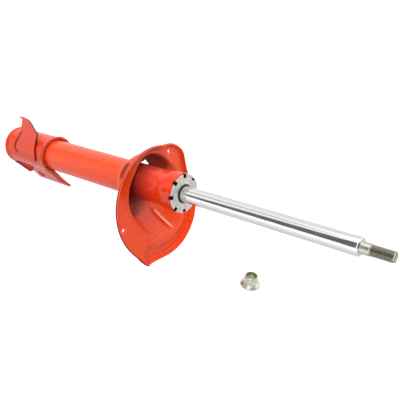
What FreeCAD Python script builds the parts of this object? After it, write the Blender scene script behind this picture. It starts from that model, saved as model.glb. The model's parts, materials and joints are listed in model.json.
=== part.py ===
import FreeCAD, Part
import math
import os
import Sketcher

# Twin-tube adjustable suspension strut, fully extended, lying on the floor on
# its spring seat and on one ear of its lower clevis, with its loose top nut
# standing beside it.  Millimetres, +Z up, origin on the floor under the middle
# of the whole set, +X along the strut from the clevis towards the rod's stud.
#
# Every strut piece is drawn in the strut's own frame: z along the axis from the
# rear edge of the clevis, x towards the clevis ears.  One common placement lays
# them all down.

doc = FreeCAD.newDocument("strut")
V = FreeCAD.Vector

# ------------------------------------------------------------------ sheet
CELLS = [
    # tube
    ("tube_outer_r", 22.5), ("tube_inner_r", 20.5),
    ("tube_bottom_z", 3), ("tube_top_z", 349),
    ("swell_outer_r", 24.6), ("swell_inner_r", 22.7),
    ("swell_from_z", 323), ("swell_to_z", 330),
    ("notch_width", 5), ("notch_depth", 4), ("notch_radial", 2.6),
    ("notch_first_deg", 2.2),
    # base cup
    ("cup_r", 20.4), ("cup_wall", 2), ("cup_top_z", 14),
    # clevis bracket
    ("wrap_inner_r", 22.65), ("wrap_outer_r", 26.3), ("wrap_len", 95),
    ("flare_inner_r", 24.7), ("flare_outer_r", 28), ("flare_len", 7),
    ("ear_inner_y", 17.5), ("ear_outer_y", 21.3), ("ear_tip_x", 55.5),
    ("ear_root_x", 14), ("ear_edge_x", 12), ("ear_step_x", 36), ("ear_step_z", 14),
    ("rear_flange_h", 5.6),
    ("bolt_hole_r", 7.1), ("bolt_hole_x", 41),
    ("bolt_low_z", 33), ("bolt_high_z", 82),
    ("front_flange_h", 6.5),
    # hose bracket
    ("hose_plate_t", 2.4), ("hose_z_low", 25), ("hose_z_high", 77.5),
    ("hose_start_deg", 205), ("hose_arc_deg", 27),
    ("hose_tongue_low", 66.3), ("hose_tongue_high", 79), ("hose_tongue_deg", 18),
    ("hose_tab_deg", 207), ("hose_tab_len", 42.3),
    # spring seat
    ("seat_cx", 37.3), ("seat_cy", -6.8), ("seat_r", 76), ("seat_z", 290),
    ("seat_tilt_x", 0.0549), ("seat_tilt_y", -0.0528),
    ("seat_sheet", 2.8), ("crest_above_track", 3.6),
    ("track_low", 9), ("track_high", 0.6), ("collar_z", 257),
    ("seat_hole_r", 2.5), ("chord_offset", 63.2), ("chord_deg", 62.9),
    ("tip_x", 77), ("tip_y", 82.8),
    # pressure tube and guide
    ("cyl_inner_r", 15), ("cyl_outer_r", 16.3), ("cyl_bottom_z", 16.05),
    ("cyl_top_z", 317.8),
    ("guide_r", 20.3), ("guide_boss_r", 14.9), ("guide_bottom_z", 305),
    ("guide_step_z", 318), ("guide_top_z", 330.6), ("guide_bore_r", 11.6),
    ("bush_outer_r", 11.5), ("bush_inner_r", 10.06),
    # rod
    ("rod_r", 10), ("rod_bore_r", 2.8), ("spigot_r", 6),
    ("rod_end_z", 227), ("rod_seat_z", 258), ("shoulder_z", 577),
    ("shank_r", 6.5), ("shank_top_z", 587), ("stud_r", 6), ("stud_end_z", 611),
    ("stud_cbore_r", 3.9), ("stud_cbore_z", 600),
    # piston
    ("piston_r", 14.55), ("piston_bottom_z", 241.1), ("piston_top_z", 253.1),
    ("band_groove_r", 13.6), ("band_outer_r", 14.93),
    # adjuster
    ("adjuster_r", 2.3), ("adjuster_head_r", 3), ("adjuster_end_z", 609.6),
    # gland
    ("gland_r", 22.5), ("gland_bottom_z", 338), ("gland_top_z", 348.6),
    ("gland_bore_r", 11.7), ("lip_outer_r", 11.55), ("lip_inner_r", 10.12),
    ("lip_top_z", 350.8),
    # nut
    ("nut_flange_r", 13.3), ("nut_af", 17), ("nut_hex_top", 12),
    ("nut_top", 15.4), ("nut_bore_r", 5.3), ("nut_collar_r", 8.7),
    ("insert_outer_r", 7.9), ("insert_inner_r", 5.5),
    # how the set lies on the floor
    ("rest_down_deg", -35.544), ("rest_tilt_deg", 11.121),
    ("strut_x", -297.52), ("strut_y", -12.49), ("strut_z", 53.955),
    ("nut_x", 128.2), ("nut_y", 38), ("nut_turn_deg", 12),
]
DIM = {}
sheet = doc.addObject("Spreadsheet::Sheet", "dims")
for i, (name, value) in enumerate(CELLS):
    sheet.set("A%d" % (i + 1), name)
    sheet.set("B%d" % (i + 1), repr(value))
    sheet.setAlias("B%d" % (i + 1), name)
doc.recompute()
for name, _ in CELLS:
    DIM[name] = float(sheet.get(name))


# ------------------------------------------------------------------ helpers
def value(text):
    """Number of a sum such as 'tube_outer_r - 0.2 + 0.5*nut_af'."""
    total, sign = 0.0, 1.0
    for tok in str(text).split():
        if tok == "+":
            sign = 1.0
            continue
        if tok == "-":
            sign = -1.0
            continue
        term = 1.0
        for fac in tok.split("*"):
            neg = fac.startswith("-")
            fac = fac.lstrip("-")
            num = DIM[fac] if fac in DIM else float(fac)
            term *= -num if neg else num
        total += sign * term
        sign = 1.0
    return total


def expr(text):
    out = []
    for tok in str(text).split():
        if tok in "+-":
            out.append(tok)
            continue
        facs = []
        for fac in tok.split("*"):
            neg = fac.startswith("-")
            fac = fac.lstrip("-")
            facs.append(("-" if neg else "") + ("dims." + fac if fac in DIM else fac))
        out.append("*".join(facs))
    return " ".join(out)


def origin_plane(body, role):
    for f in body.Origin.OriginFeatures:
        if f.Role == role:
            return f
    raise RuntimeError("no plane " + role)


def new_body(name):
    b = doc.addObject("PartDesign::Body", name)
    b.Label = name
    return b


def new_sketch(body, name, role):
    sk = body.newObject("Sketcher::SketchObject", name)
    sk.AttachmentSupport = (origin_plane(body, role), [""])
    sk.MapMode = "FlatFace"
    return sk


def pin_point(sk, geo, pos, ex, ey, tag):
    vx, vy = value(ex), value(ey)
    for axis, val, ex1, kind in (("x", vx, ex, "DistanceX"), ("y", vy, ey, "DistanceY")):
        if abs(val) < 1e-9:
            sk.addConstraint(Sketcher.Constraint("PointOnObject", geo, pos, -2 if axis == "x" else -1))
            continue
        if val > 0:
            c = Sketcher.Constraint(kind, -1, 1, geo, pos, val)
            e = expr(ex1)
        else:
            c = Sketcher.Constraint(kind, geo, pos, -1, 1, -val)
            e = "-(" + expr(ex1) + ")"
        idx = sk.addConstraint(c)
        nm = "%s%s" % (tag, axis)
        sk.renameConstraint(idx, nm)
        sk.setExpression("Constraints." + nm, e)


def polygon(sk, pts, tag="p"):
    n = len(pts)
    base = sk.GeometryCount
    co = [V(value(a), value(b), 0) for a, b in pts]
    for i in range(n):
        sk.addGeometry(Part.LineSegment(co[i], co[(i + 1) % n]), False)
    for i in range(n):
        sk.addConstraint(Sketcher.Constraint("Coincident", base + i, 2, base + (i + 1) % n, 1))
    for i, (a, b) in enumerate(pts):
        pin_point(sk, base + i, 1, a, b, "%s%d" % (tag, i))


def circle(sk, ex, ey, er, tag="c"):
    g = sk.addGeometry(Part.Circle(V(value(ex), value(ey), 0), V(0, 0, 1), value(er)), False)
    pin_point(sk, g, 3, ex, ey, tag + "m")
    idx = sk.addConstraint(Sketcher.Constraint("Radius", g, value(er)))
    sk.renameConstraint(idx, tag + "r")
    sk.setExpression("Constraints." + tag + "r", expr(er))
    return g


def revolve(body, name, pts, groove=False):
    """Profile in (radius, z) turned about the strut's axis."""
    sk = new_sketch(body, name + "_profile", "XZ_Plane")
    polygon(sk, pts)
    kind = "PartDesign::Groove" if groove else "PartDesign::Revolution"
    r = body.newObject(kind, name)
    r.Profile = sk
    r.ReferenceAxis = (sk, ["V_Axis"])
    r.Angle = 360
    sk.Visibility = False
    doc.recompute()
    return r


def pad(body, name, role, draw, length, offset=None, midplane=False):
    sk = new_sketch(body, name + "_sketch", role)
    draw(sk)
    if offset is not None:
        sk.AttachmentOffset = FreeCAD.Placement(V(0, 0, value(offset)), FreeCAD.Rotation())
        sk.setExpression("AttachmentOffset.Base.z", expr(offset))
    p = body.newObject("PartDesign::Pad", name)
    p.Profile = sk
    p.Length = value(length)
    p.setExpression("Length", expr(length))
    if midplane:
        p.Midplane = True
    doc.recompute()
    return p


def pocket(body, name, role, draw, length, offset=None, midplane=False, flip=False):
    before = body.Shape.Volume
    sk = new_sketch(body, name + "_sketch", role)
    draw(sk)
    if offset is not None:
        sk.AttachmentOffset = FreeCAD.Placement(V(0, 0, value(offset)), FreeCAD.Rotation())
        sk.setExpression("AttachmentOffset.Base.z", expr(offset))
    p = body.newObject("PartDesign::Pocket", name)
    p.Profile = sk
    p.Length = value(length)
    p.setExpression("Length", expr(length))
    if midplane:
        p.Midplane = True
    p.Reversed = flip
    doc.recompute()
    if not body.Shape.Volume < before - 1e-6:
        raise RuntimeError("pocket %s cut nothing" % name)
    return p


def polar(body, name, feature, count):
    pt = body.newObject("PartDesign::PolarPattern", name)
    pt.Originals = [feature]
    pt.Axis = (origin_axis(body), [""])
    pt.Angle = 360
    pt.Occurrences = count
    body.Tip = pt
    doc.recompute()
    return pt


def origin_axis(body, role="Z_Axis"):
    for f in body.Origin.OriginFeatures:
        if f.Role == role:
            return f
    raise RuntimeError("no axis")


# --------------------------------------------------------------- placement
def strut_placement():
    w = math.radians(DIM["rest_down_deg"])
    al = math.radians(DIM["rest_tilt_deg"])
    down = V(math.cos(w), math.sin(w), 0)
    up = V(-down.x * math.cos(al), -down.y * math.cos(al), math.sin(al))
    ahead = V(down.x * math.sin(al), down.y * math.sin(al), math.cos(al))
    left = up.cross(ahead)
    m = FreeCAD.Matrix(ahead.x, ahead.y, ahead.z, DIM["strut_x"],
                       left.x, left.y, left.z, DIM["strut_y"],
                       up.x, up.y, up.z, DIM["strut_z"],
                       0, 0, 0, 1)
    return FreeCAD.Placement(m)


LIE = strut_placement()
STAND = FreeCAD.Placement(V(DIM["nut_x"], DIM["nut_y"], 0),
                          FreeCAD.Rotation(V(0, 0, 1), DIM["nut_turn_deg"]))
NODES = []


def keep(obj, place=None):
    obj.Placement = LIE if place is None else place
    NODES.append(obj)
    return obj


# ----------------------------------------------------------------- tube
b = new_body("outer_tube")
revolve(b, "tube_wall", [
    ("tube_inner_r", "tube_bottom_z"), ("tube_outer_r", "tube_bottom_z"),
    ("tube_outer_r", "swell_from_z"), ("swell_outer_r", "swell_to_z"),
    ("swell_outer_r", "tube_top_z - 0.8"), ("swell_outer_r - 0.6", "tube_top_z"),
    ("swell_inner_r", "tube_top_z"), ("swell_inner_r", "swell_to_z + 1"),
    ("tube_inner_r", "swell_from_z + 3")])


def rim_slot(sk):
    polygon(sk, [("swell_inner_r - 1.5", "-0.5*notch_width"), ("swell_outer_r + 1", "-0.5*notch_width"),
                 ("swell_outer_r + 1", "0.5*notch_width"), ("swell_inner_r - 1.5", "0.5*notch_width")])


f = pocket(b, "rim_notch", "XY_Plane", rim_slot, "notch_depth + 1", "tube_top_z - notch_depth", flip=True)
polar(b, "rim_notches", f, 8)
b.Tip = doc.getObject("rim_notches")
keep(b)
# the notches start a little off the x axis: the whole tube is turned by it
TURN = FreeCAD.Rotation(V(0, 0, 1), DIM["notch_first_deg"])
b.Placement = FreeCAD.Placement(LIE.Base, LIE.Rotation.multiply(TURN))

b = new_body("base_cup")
revolve(b, "cup", [("0", "4"), ("cup_r - 3", "4"), ("cup_r", "7"), ("cup_r", "cup_top_z"),
                   ("cup_r - cup_wall", "cup_top_z"), ("cup_r - cup_wall", "7.8"),
                   ("cup_r - cup_wall - 0.9", "6.9"), ("0", "6.9")])
keep(b)

# -------------------------------------------------------------- clevis
b = new_body("clevis_bracket")


def ring(sk):
    circle(sk, "0", "0", "wrap_outer_r", "o")
    circle(sk, "0", "0", "wrap_inner_r", "i")


pad(b, "wrap", "XY_Plane", ring, "wrap_len")
revolve(b, "front_lip", [("wrap_outer_r - 0.6", "wrap_len - flare_len"),
                         ("flare_outer_r", "wrap_len - 1.5"), ("flare_outer_r", "wrap_len"),
                         ("wrap_outer_r - 0.6", "wrap_len")])
revolve(b, "rear_lip", [("wrap_outer_r - 0.6", "flare_len"),
                        ("flare_outer_r", "1.5"), ("flare_outer_r", "0"),
                        ("wrap_outer_r - 0.6", "0")])
revolve(b, "front_funnel", [("wrap_inner_r - 1", "wrap_len - flare_len"),
                            ("wrap_inner_r", "wrap_len - flare_len"),
                            ("flare_inner_r", "wrap_len"), ("wrap_inner_r - 1", "wrap_len")], groove=True)
revolve(b, "rear_funnel", [("wrap_inner_r - 1", "flare_len"), ("wrap_inner_r", "flare_len"),
                           ("flare_inner_r", "0"), ("wrap_inner_r - 1", "0")], groove=True)
pocket(b, "gap", "XY_Plane", lambda sk: polygon(sk, [
    ("4", "-ear_inner_y"), ("ear_tip_x", "-ear_inner_y"),
    ("ear_tip_x", "ear_inner_y"), ("4", "ear_inner_y")]), "wrap_len", flip=True)
pocket(b, "front_open", "XY_Plane", lambda sk: polygon(sk, [
    ("ear_root_x + 3.4", "-30"), ("ear_tip_x", "-30"),
    ("ear_tip_x", "30"), ("ear_root_x + 3.4", "30")]), "wrap_len", flip=True)


def ears(sk):
    polygon(sk, [("ear_root_x + 0.4", "ear_inner_y"), ("ear_tip_x", "ear_inner_y"),
                 ("ear_tip_x", "ear_outer_y"), ("ear_root_x + 0.4", "ear_outer_y")], "u")
    polygon(sk, [("ear_root_x + 0.4", "-ear_outer_y"), ("ear_tip_x", "-ear_outer_y"),
                 ("ear_tip_x", "-ear_inner_y"), ("ear_root_x + 0.4", "-ear_inner_y")], "v")


pad(b, "ears", "XY_Plane", ears, "wrap_len")


def edge_lips(sk):
    polygon(sk, [("ear_root_x + 1", "ear_outer_y - 0.5"), ("ear_tip_x - 1.5", "ear_outer_y - 0.5"),
                 ("ear_tip_x - 1.5", "ear_outer_y + 1"), ("ear_root_x + 1", "ear_outer_y + front_flange_h")], "u")
    polygon(sk, [("ear_root_x + 1", "-ear_outer_y - front_flange_h"), ("ear_tip_x - 1.5", "-ear_outer_y - 1"),
                 ("ear_tip_x - 1.5", "-ear_outer_y + 0.5"), ("ear_root_x + 1", "-ear_outer_y + 0.5")], "v")


pad(b, "front_edge_lips", "XY_Plane", edge_lips, "3.4", "wrap_len - 3.4")


def rear_lips(sk):
    # the rear edge runs up to the step, with the flange standing out along it
    polygon(sk, [("8", "0"), ("ear_edge_x", "0"), ("ear_step_x", "ear_step_z"),
                 ("ear_step_x - 1.7", "ear_step_z + 2.9"), ("ear_edge_x - 1", "3.4"), ("8", "3.4")])


pad(b, "rear_edge_lips", "XZ_Plane", rear_lips, "2*ear_outer_y + 2*rear_flange_h", midplane=True)
pocket(b, "gap_between", "XY_Plane", lambda sk: polygon(sk, [
    ("4", "-ear_inner_y"), ("ear_tip_x", "-ear_inner_y"),
    ("ear_tip_x", "ear_inner_y"), ("4", "ear_inner_y")]), "wrap_len", flip=True)


def tube_room(sk):
    circle(sk, "0", "0", "wrap_inner_r", "i")


pocket(b, "tube_room", "XY_Plane", tube_room, "wrap_len", flip=True)
pocket(b, "rear_step", "XZ_Plane", lambda sk: polygon(sk, [
    ("ear_edge_x", "0"), ("ear_edge_x", "-1"), ("ear_tip_x + 1", "-1"), ("ear_tip_x + 1", "ear_step_z"),
    ("ear_step_x", "ear_step_z")]), "80", midplane=True)
pocket(b, "front_corner", "XZ_Plane", lambda sk: polygon(sk, [
    ("ear_tip_x - 3", "wrap_len"), ("ear_tip_x + 1", "wrap_len - 4"), ("ear_tip_x + 1", "wrap_len + 1"),
    ("ear_tip_x - 3", "wrap_len + 1")]), "80", midplane=True)


def bolt_holes(sk):
    circle(sk, "bolt_hole_x", "bolt_low_z", "bolt_hole_r", "a")
    circle(sk, "bolt_hole_x", "bolt_high_z", "bolt_hole_r", "b")


pocket(b, "bolt_holes", "XZ_Plane", bolt_holes, "80", midplane=True)
keep(b)

b = new_body("bracket_weld")
revolve(b, "front_bead", [("tube_outer_r + 0.03", "wrap_len - 4.8"), ("tube_outer_r + 0.6", "wrap_len - 4.7"),
                          ("tube_outer_r + 1.5", "wrap_len - 1.6"), ("tube_outer_r + 0.03", "wrap_len - 0.4")])
revolve(b, "rear_bead", [("tube_outer_r + 0.03", "4.8"), ("tube_outer_r + 0.6", "4.7"),
                         ("tube_outer_r + 0.9", "3.6"), ("tube_outer_r + 0.03", "3.5")])
pocket(b, "bead_gap", "XY_Plane", lambda sk: polygon(sk, [
    ("7.4", "-30"), ("40", "-30"), ("40", "30"), ("7.4", "30")]), "wrap_len + 2", "-1", flip=True)
keep(b)

# --------------------------------------------------------- hose bracket
outer = doc.addObject("Part::Cylinder", "hose_arc_outer")
tongue = doc.addObject("Part::Cylinder", "hose_tongue_outer")
inner = doc.addObject("Part::Cylinder", "hose_arc_inner")
for o in (outer, tongue):
    o.setExpression("Radius", "dims.wrap_outer_r + 0.05 + dims.hose_plate_t")
inner.setExpression("Radius", "dims.wrap_outer_r + 0.05")
outer.setExpression("Angle", "dims.hose_arc_deg")
outer.setExpression("Height", "dims.hose_z_high - dims.hose_z_low")
tongue.setExpression("Angle", "dims.hose_tongue_deg + 1")
tongue.setExpression("Height", "dims.hose_tongue_high - dims.hose_tongue_low")
inner.setExpression("Height", "dims.hose_z_high - dims.hose_z_low + 8")
outer.Placement = FreeCAD.Placement(V(0, 0, DIM["hose_z_low"]), FreeCAD.Rotation(V(0, 0, 1), DIM["hose_start_deg"]))
tongue.Placement = FreeCAD.Placement(V(0, 0, DIM["hose_tongue_low"]), FreeCAD.Rotation(
    V(0, 0, 1), DIM["hose_start_deg"] + DIM["hose_arc_deg"] - 1))
inner.Placement = FreeCAD.Placement(V(0, 0, DIM["hose_z_low"] - 2), FreeCAD.Rotation())
plate = doc.addObject("Part::Fuse", "hose_plate")
plate.Base, plate.Tool = outer, tongue
arc = doc.addObject("Part::Cut", "hose_arc")
arc.Base, arc.Tool = plate, inner
# the tab leaves the plate where that turns up and leans away from the tube
ang = math.radians(DIM["hose_tab_deg"])
rr = DIM["wrap_outer_r"] + 0.05 + DIM["hose_plate_t"]
run = V(-0.561, 0.8278, 0)
foot = V(rr * math.cos(ang), rr * math.sin(ang), 0)
tab = doc.addObject("Part::Extrusion", "hose_tab")
low, high = DIM["hose_z_low"], DIM["hose_z_high"]
L = DIM["hose_tab_len"]
pts = [foot + run * s + V(0, 0, z) for s, z in (
    (0, low), (10, low + 4), (24, low + 11), (L - 4, low + 13.3), (L - 2, low + 9), (L - 1.3, low + 5.5),
    (L, low + 5.5), (L, low + 16), (L - 0.6, high - 29), (L - 2.3, high - 22), (24, high), (0, high))]
prof = doc.addObject("Part::Feature", "hose_tab_profile")
prof.Shape = Part.Face(Part.makePolygon(pts + [pts[0]]))
tab.Base = prof
tab.Dir = V(0.8278, 0.561, 0)
tab.setExpression("LengthFwd", "dims.hose_plate_t")
tab.Solid = True
fuse = doc.addObject("Part::Fuse", "hose_bracket")
fuse.Label = "hose_bracket"
fuse.Base, fuse.Tool = arc, tab
doc.recompute()
keep(fuse)


# ----------------------------------------------------------- spring seat
# drawn flat about the middle of its coil, then tilted to where it is welded
STEP_DEG = -62.0


def on_ring(deg, r):
    a = math.radians(deg)
    return r * math.cos(a), r * math.sin(a)


def seat_outline(grow=0.0):
    """Closed outline: round coil seat, pointed tip, flat side and small ear."""
    r = DIM["seat_r"] + grow
    half = math.degrees(math.acos(DIM["chord_offset"] / DIM["seat_r"]))
    c0, c1 = DIM["chord_deg"] - half, DIM["chord_deg"] + half
    start, flat = on_ring(-51.2, r), on_ring(c0, r)
    ear = [on_ring(c1 + 4.5, r + 2.6), on_ring(111, r + 3.8), on_ring(119, r + 2.6)]
    join, low = on_ring(129, r), on_ring(-90, r)
    tip = (DIM["tip_x"] - DIM["seat_cx"] + grow, low[1])
    k = 3.2
    d1 = math.hypot(start[0] - tip[0], start[1] - tip[1])
    t1 = (tip[0] - k, tip[1])
    t2 = (tip[0] + (start[0] - tip[0]) * k / d1, tip[1] + (start[1] - tip[1]) * k / d1)
    mid = ((t1[0] + t2[0] + 1.1 * tip[0]) / 3.1, (t1[1] + t2[1] + 1.1 * tip[1]) / 3.1)
    segs = [("arc", start, on_ring(-11, r), flat), ("line", flat, ear[0]), ("arc",) + tuple(ear),
            ("line", ear[2], join), ("arc", join, on_ring(200, r), low), ("line", low, t1),
            ("arc", t1, mid, t2), ("line", t2, start)]
    edges = []
    for seg in segs:
        q = [V(u, v, 0) for u, v in seg[1:]]
        edges.append(Part.LineSegment(*q).toShape() if seg[0] == "line" else Part.Arc(*q).toShape())
    return Part.Wire(edges)


# distance of the bowl's crest from the middle of the coil, every 15 degrees
CREST = [60, 56.2, 52, 49.2, 48, 48.6, 50.3, 55, 60.5, 66.9, 71.4, 67.6, 65,
         63.9, 62.1, 58.9, 54.8, 50.7, 47.6, 46.7, 48.5, 57, 60.6, 61.3]


def crest_wire(grow=0.0):
    pts = []
    for i, r in enumerate(CREST):
        x, y = on_ring(i * 15.0, r + grow)
        pts.append(V(x, y, 0))
    c = Part.BSplineCurve()
    c.interpolate(pts, PeriodicFlag=True)
    return Part.Wire([c.toShape()])


def prism(wire, z0, z1):
    w = wire.copy()
    w.translate(V(0, 0, z0))
    return Part.Face(w).extrude(V(0, 0, z1 - z0))


def helix_edge(r):
    """Curve over the track at radius r, deepest just past the coil stop."""
    poly = []
    for i in range(0, 37):
        x, y = on_ring(STEP_DEG + i * 10.0, r)
        poly.append(V(x, y, -DIM["track_low"] + (DIM["track_low"] - DIM["track_high"]) * (i / 36.0)))
    c = Part.BSplineCurve()
    c.interpolate(poly)
    return c.toShape()


SEAT_AT = FreeCAD.Placement(V(DIM["seat_cx"], DIM["seat_cy"], DIM["seat_z"]),
                            FreeCAD.Rotation(V(0, 0, 1), V(-DIM["seat_tilt_x"], -DIM["seat_tilt_y"], 1)))


def tilted(s):
    s = s.copy()
    s.transformShape(SEAT_AT.toMatrix())
    return s


def over_crest():
    """Everything higher than the crest, which climbs with the track."""
    over = Part.makeRuledSurface(helix_edge(25.0), helix_edge(96.0))
    over.translate(V(0, 0, DIM["crest_above_track"]))
    return over.extrude(V(0, 0, 30))


def seat_ring():
    t = DIM["seat_sheet"]
    top, bottom = 0.0, -DIM["track_low"] - t
    floor = Part.makeRuledSurface(helix_edge(25.0), helix_edge(96.0))
    sheet_metal = floor.extrude(V(0, 0, -t))
    below = floor.copy()
    below.translate(V(0, 0, -t))
    below = below.extrude(V(0, 0, -30))
    out_solid = prism(seat_outline(), bottom - 1, top)
    out_core = prism(seat_outline(-t), bottom - 2, top + 1)
    in_solid = prism(crest_wire(t), bottom - 1, top)
    in_core = prism(crest_wire(0), bottom - 2, top + 1)
    lip = out_solid.cut(out_core)
    wall = in_solid.cut(in_core).common(out_solid).cut(over_crest())
    rings = lip.fuse(wall).cut(below)
    annulus = out_solid.cut(in_core)
    ring = rings.fuse(sheet_metal.common(annulus))
    # coil stop: a short radial wall closes the step of the helix
    a = math.radians(STEP_DEG)
    ray, across = V(math.cos(a), math.sin(a), 0), V(-math.sin(a), math.cos(a), 0)
    q0 = ray * 44 + V(0, 0, bottom)
    quad = [q0, q0 + ray * 44, q0 + ray * 44 - across * t, q0 - across * t]
    stop = Part.Face(Part.makePolygon(quad + [quad[0]])).extrude(V(0, 0, top - 0.2 - bottom))
    return tilted(ring.fuse(stop.common(annulus)))


def seat_bowl():
    t, zc = DIM["seat_sheet"], DIM["collar_z"]
    r0 = DIM["tube_outer_r"] + 0.03

    def ring_wire(r, z):
        return Part.Wire([Part.Circle(V(0, 0, z), V(0, 0, 1), r).toShape()])

    def lowered(w, dz):
        w = w.copy()
        w.translate(V(0, 0, dz))
        return tilted(w)

    outside = Part.makeLoft([ring_wire(r0 + t, zc + 2.5), lowered(crest_wire(0.6), -1.2)], True, True)
    inside = Part.makeLoft([ring_wire(r0 + 0.4, zc + 3.5), lowered(crest_wire(0.6 - t), -0.2)], True, True)
    shell = outside.cut(inside).cut(tilted(prism(crest_wire(0.6 - t), -0.2, 6)))
    shell = shell.cut(tilted(over_crest()))
    collar = Part.makeCylinder(r0 + t, 5.2, V(0, 0, zc - 0.4))
    return shell.fuse(collar).cut(Part.makeCylinder(r0, 60, V(0, 0, zc - 5)))


seat = seat_ring().fuse(seat_bowl())
# drain notch beside the tube and two small holes in the flange
seat = seat.cut(Part.makeBox(13, 8.5, 30, V(-6, 21.5, DIM["collar_z"] + 0.8)))
for x, y in ((2.1, 52.7), (4.9, -69.7)):
    seat = seat.cut(Part.makeCylinder(DIM["seat_hole_r"], 60, V(x, y, 262)))
seat = seat.removeSplitter()
o = doc.addObject("Part::Feature", "spring_seat")
o.Label = "spring_seat"
o.Shape = seat
keep(o)

b = new_body("seat_weld")
revolve(b, "collar_bead", [("tube_outer_r + 0.03", "collar_z - 4"), ("tube_outer_r + 1.2", "collar_z - 3.2"),
                           ("tube_outer_r + 2.6", "collar_z - 0.45"), ("tube_outer_r + 0.03", "collar_z - 0.45")])
keep(b)

# -------------------------------------------------------- inner cylinder
b = new_body("pressure_tube")
revolve(b, "cylinder", [("cyl_inner_r", "cyl_bottom_z"), ("cyl_outer_r", "cyl_bottom_z"),
                        ("cyl_outer_r", "cyl_top_z"), ("cyl_inner_r", "cyl_top_z")])
keep(b)

b = new_body("foot_valve_body")
revolve(b, "foot", [("3.2", "14"), ("3.2", "22"), ("cyl_inner_r - 0.1", "22"), ("cyl_inner_r - 0.1", "16"),
                    ("18", "16"), ("18", "7.1"), ("16", "7.1"), ("16", "14")])
f = pocket(b, "low_port", "XY_Plane", lambda sk: circle(sk, "7.2", "0", "1.3"), "12", "12", flip=True)
polar(b, "low_ports", f, 6)
f = pocket(b, "high_port", "XY_Plane", lambda sk: circle(sk, "11.6", "0", "1.5"), "12", "12", flip=True)
polar(b, "high_ports", f, 8)
f = pocket(b, "foot_slot", "XZ_Plane", lambda sk: polygon(sk, [
    ("14", "6"), ("20", "6"), ("20", "11"), ("14", "11")]), "6", midplane=True)
polar(b, "foot_slots", f, 4)
keep(b)

b = new_body("foot_valve_disc")
revolve(b, "discs", [("3.2", "12.6"), ("10", "12.6"), ("10", "13"), ("9.4", "13.1"), ("9.4", "13.9"), ("3.2", "13.9")])
keep(b)

b = new_body("foot_valve_pin")
revolve(b, "pin", [("0", "9.6"), ("4.4", "9.6"), ("5.4", "10.4"), ("5.4", "12.4"), ("3.05", "12.4"),
                   ("3.05", "25.6"), ("6", "25.6"), ("6", "27"), ("0", "27")])
keep(b)

b = new_body("foot_check_plate")
revolve(b, "plate", [("8.8", "22.15"), ("13.8", "22.15"), ("13.8", "22.95"), ("8.8", "22.95")])
keep(b)

b = new_body("foot_check_spring")
revolve(b, "cone", [("3.3", "25.1"), ("3.3", "25.5"), ("6.6", "25.5"), ("11.4", "23.5"), ("11.4", "23.1"),
                    ("6.6", "25.1")])
keep(b)

# ------------------------------------------------------------ rod guide
b = new_body("rod_guide")
revolve(b, "guide", [("guide_bore_r", "guide_bottom_z"), ("guide_boss_r - 1", "guide_bottom_z"),
                     ("guide_boss_r", "guide_bottom_z + 1"), ("guide_boss_r", "guide_step_z"),
                     ("guide_r", "guide_step_z"), ("guide_r", "327"), ("18", "327"),
                     ("18", "guide_top_z"), ("guide_bore_r", "guide_top_z")])
f = pocket(b, "return_port", "XY_Plane", lambda sk: circle(sk, "17.3", "0", "0.9"), "16", "316", flip=True)
polar(b, "return_ports", f, 4)
keep(b)

b = new_body("guide_bush")
revolve(b, "bush", [("bush_inner_r", "guide_bottom_z + 1"), ("bush_outer_r", "guide_bottom_z + 1"),
                    ("bush_outer_r", "328"), ("bush_inner_r", "328")])
keep(b)

b = new_body("gland_o_ring")
torus_z = 328.15
revolve(b, "ring_section", [("18.2", "327.7"), ("18.2", "328.6"), ("18.75", "329.2"), ("19.75", "329.2"),
                            ("20.3", "328.6"), ("20.3", "327.7"), ("19.75", "327.1"), ("18.75", "327.1")])
keep(b)

b = new_body("seal_washer")
revolve(b, "washer", [("10.8", "331.1"), ("22.4", "331.1"), ("22.4", "332.6"), ("10.8", "332.6")])
keep(b)

b = new_body("oil_seal")
revolve(b, "seal", [("11.6", "332.7"), ("22.4", "332.7"), ("22.4", "337.8"), ("14", "337.8"),
                    ("10.9", "337.4"), ("10.08", "336.4"), ("10.08", "335.8"), ("11.2", "334.4")])
keep(b)

b = new_body("gland_nut")
revolve(b, "nut_ring", [("gland_bore_r", "gland_bottom_z"), ("gland_r", "gland_bottom_z"),
                        ("gland_r", "gland_top_z - 0.5"), ("gland_r - 0.5", "gland_top_z"),
                        ("gland_bore_r + 0.6", "gland_top_z"), ("gland_bore_r", "gland_top_z - 0.6")])
f = pocket(b, "nut_notch", "XY_Plane", lambda sk: polygon(sk, [
    ("gland_r - notch_radial", "-0.5*notch_width"), ("gland_r + 2", "-0.5*notch_width"),
    ("gland_r + 2", "0.5*notch_width"), ("gland_r - notch_radial", "0.5*notch_width")]),
    "notch_depth + 1", "tube_top_z - notch_depth", flip=True)
polar(b, "nut_notches", f, 8)
keep(b)
b.Placement = FreeCAD.Placement(LIE.Base, LIE.Rotation.multiply(TURN))

b = new_body("dust_lip")
revolve(b, "lip", [("lip_inner_r + 1", "343"), ("lip_outer_r", "343"), ("lip_outer_r", "lip_top_z - 0.4"),
                   ("lip_outer_r - 0.4", "lip_top_z"), ("lip_inner_r", "lip_top_z"),
                   ("lip_inner_r", "lip_top_z - 0.8"), ("lip_inner_r + 1", "lip_top_z - 2.4")])
keep(b)

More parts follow.
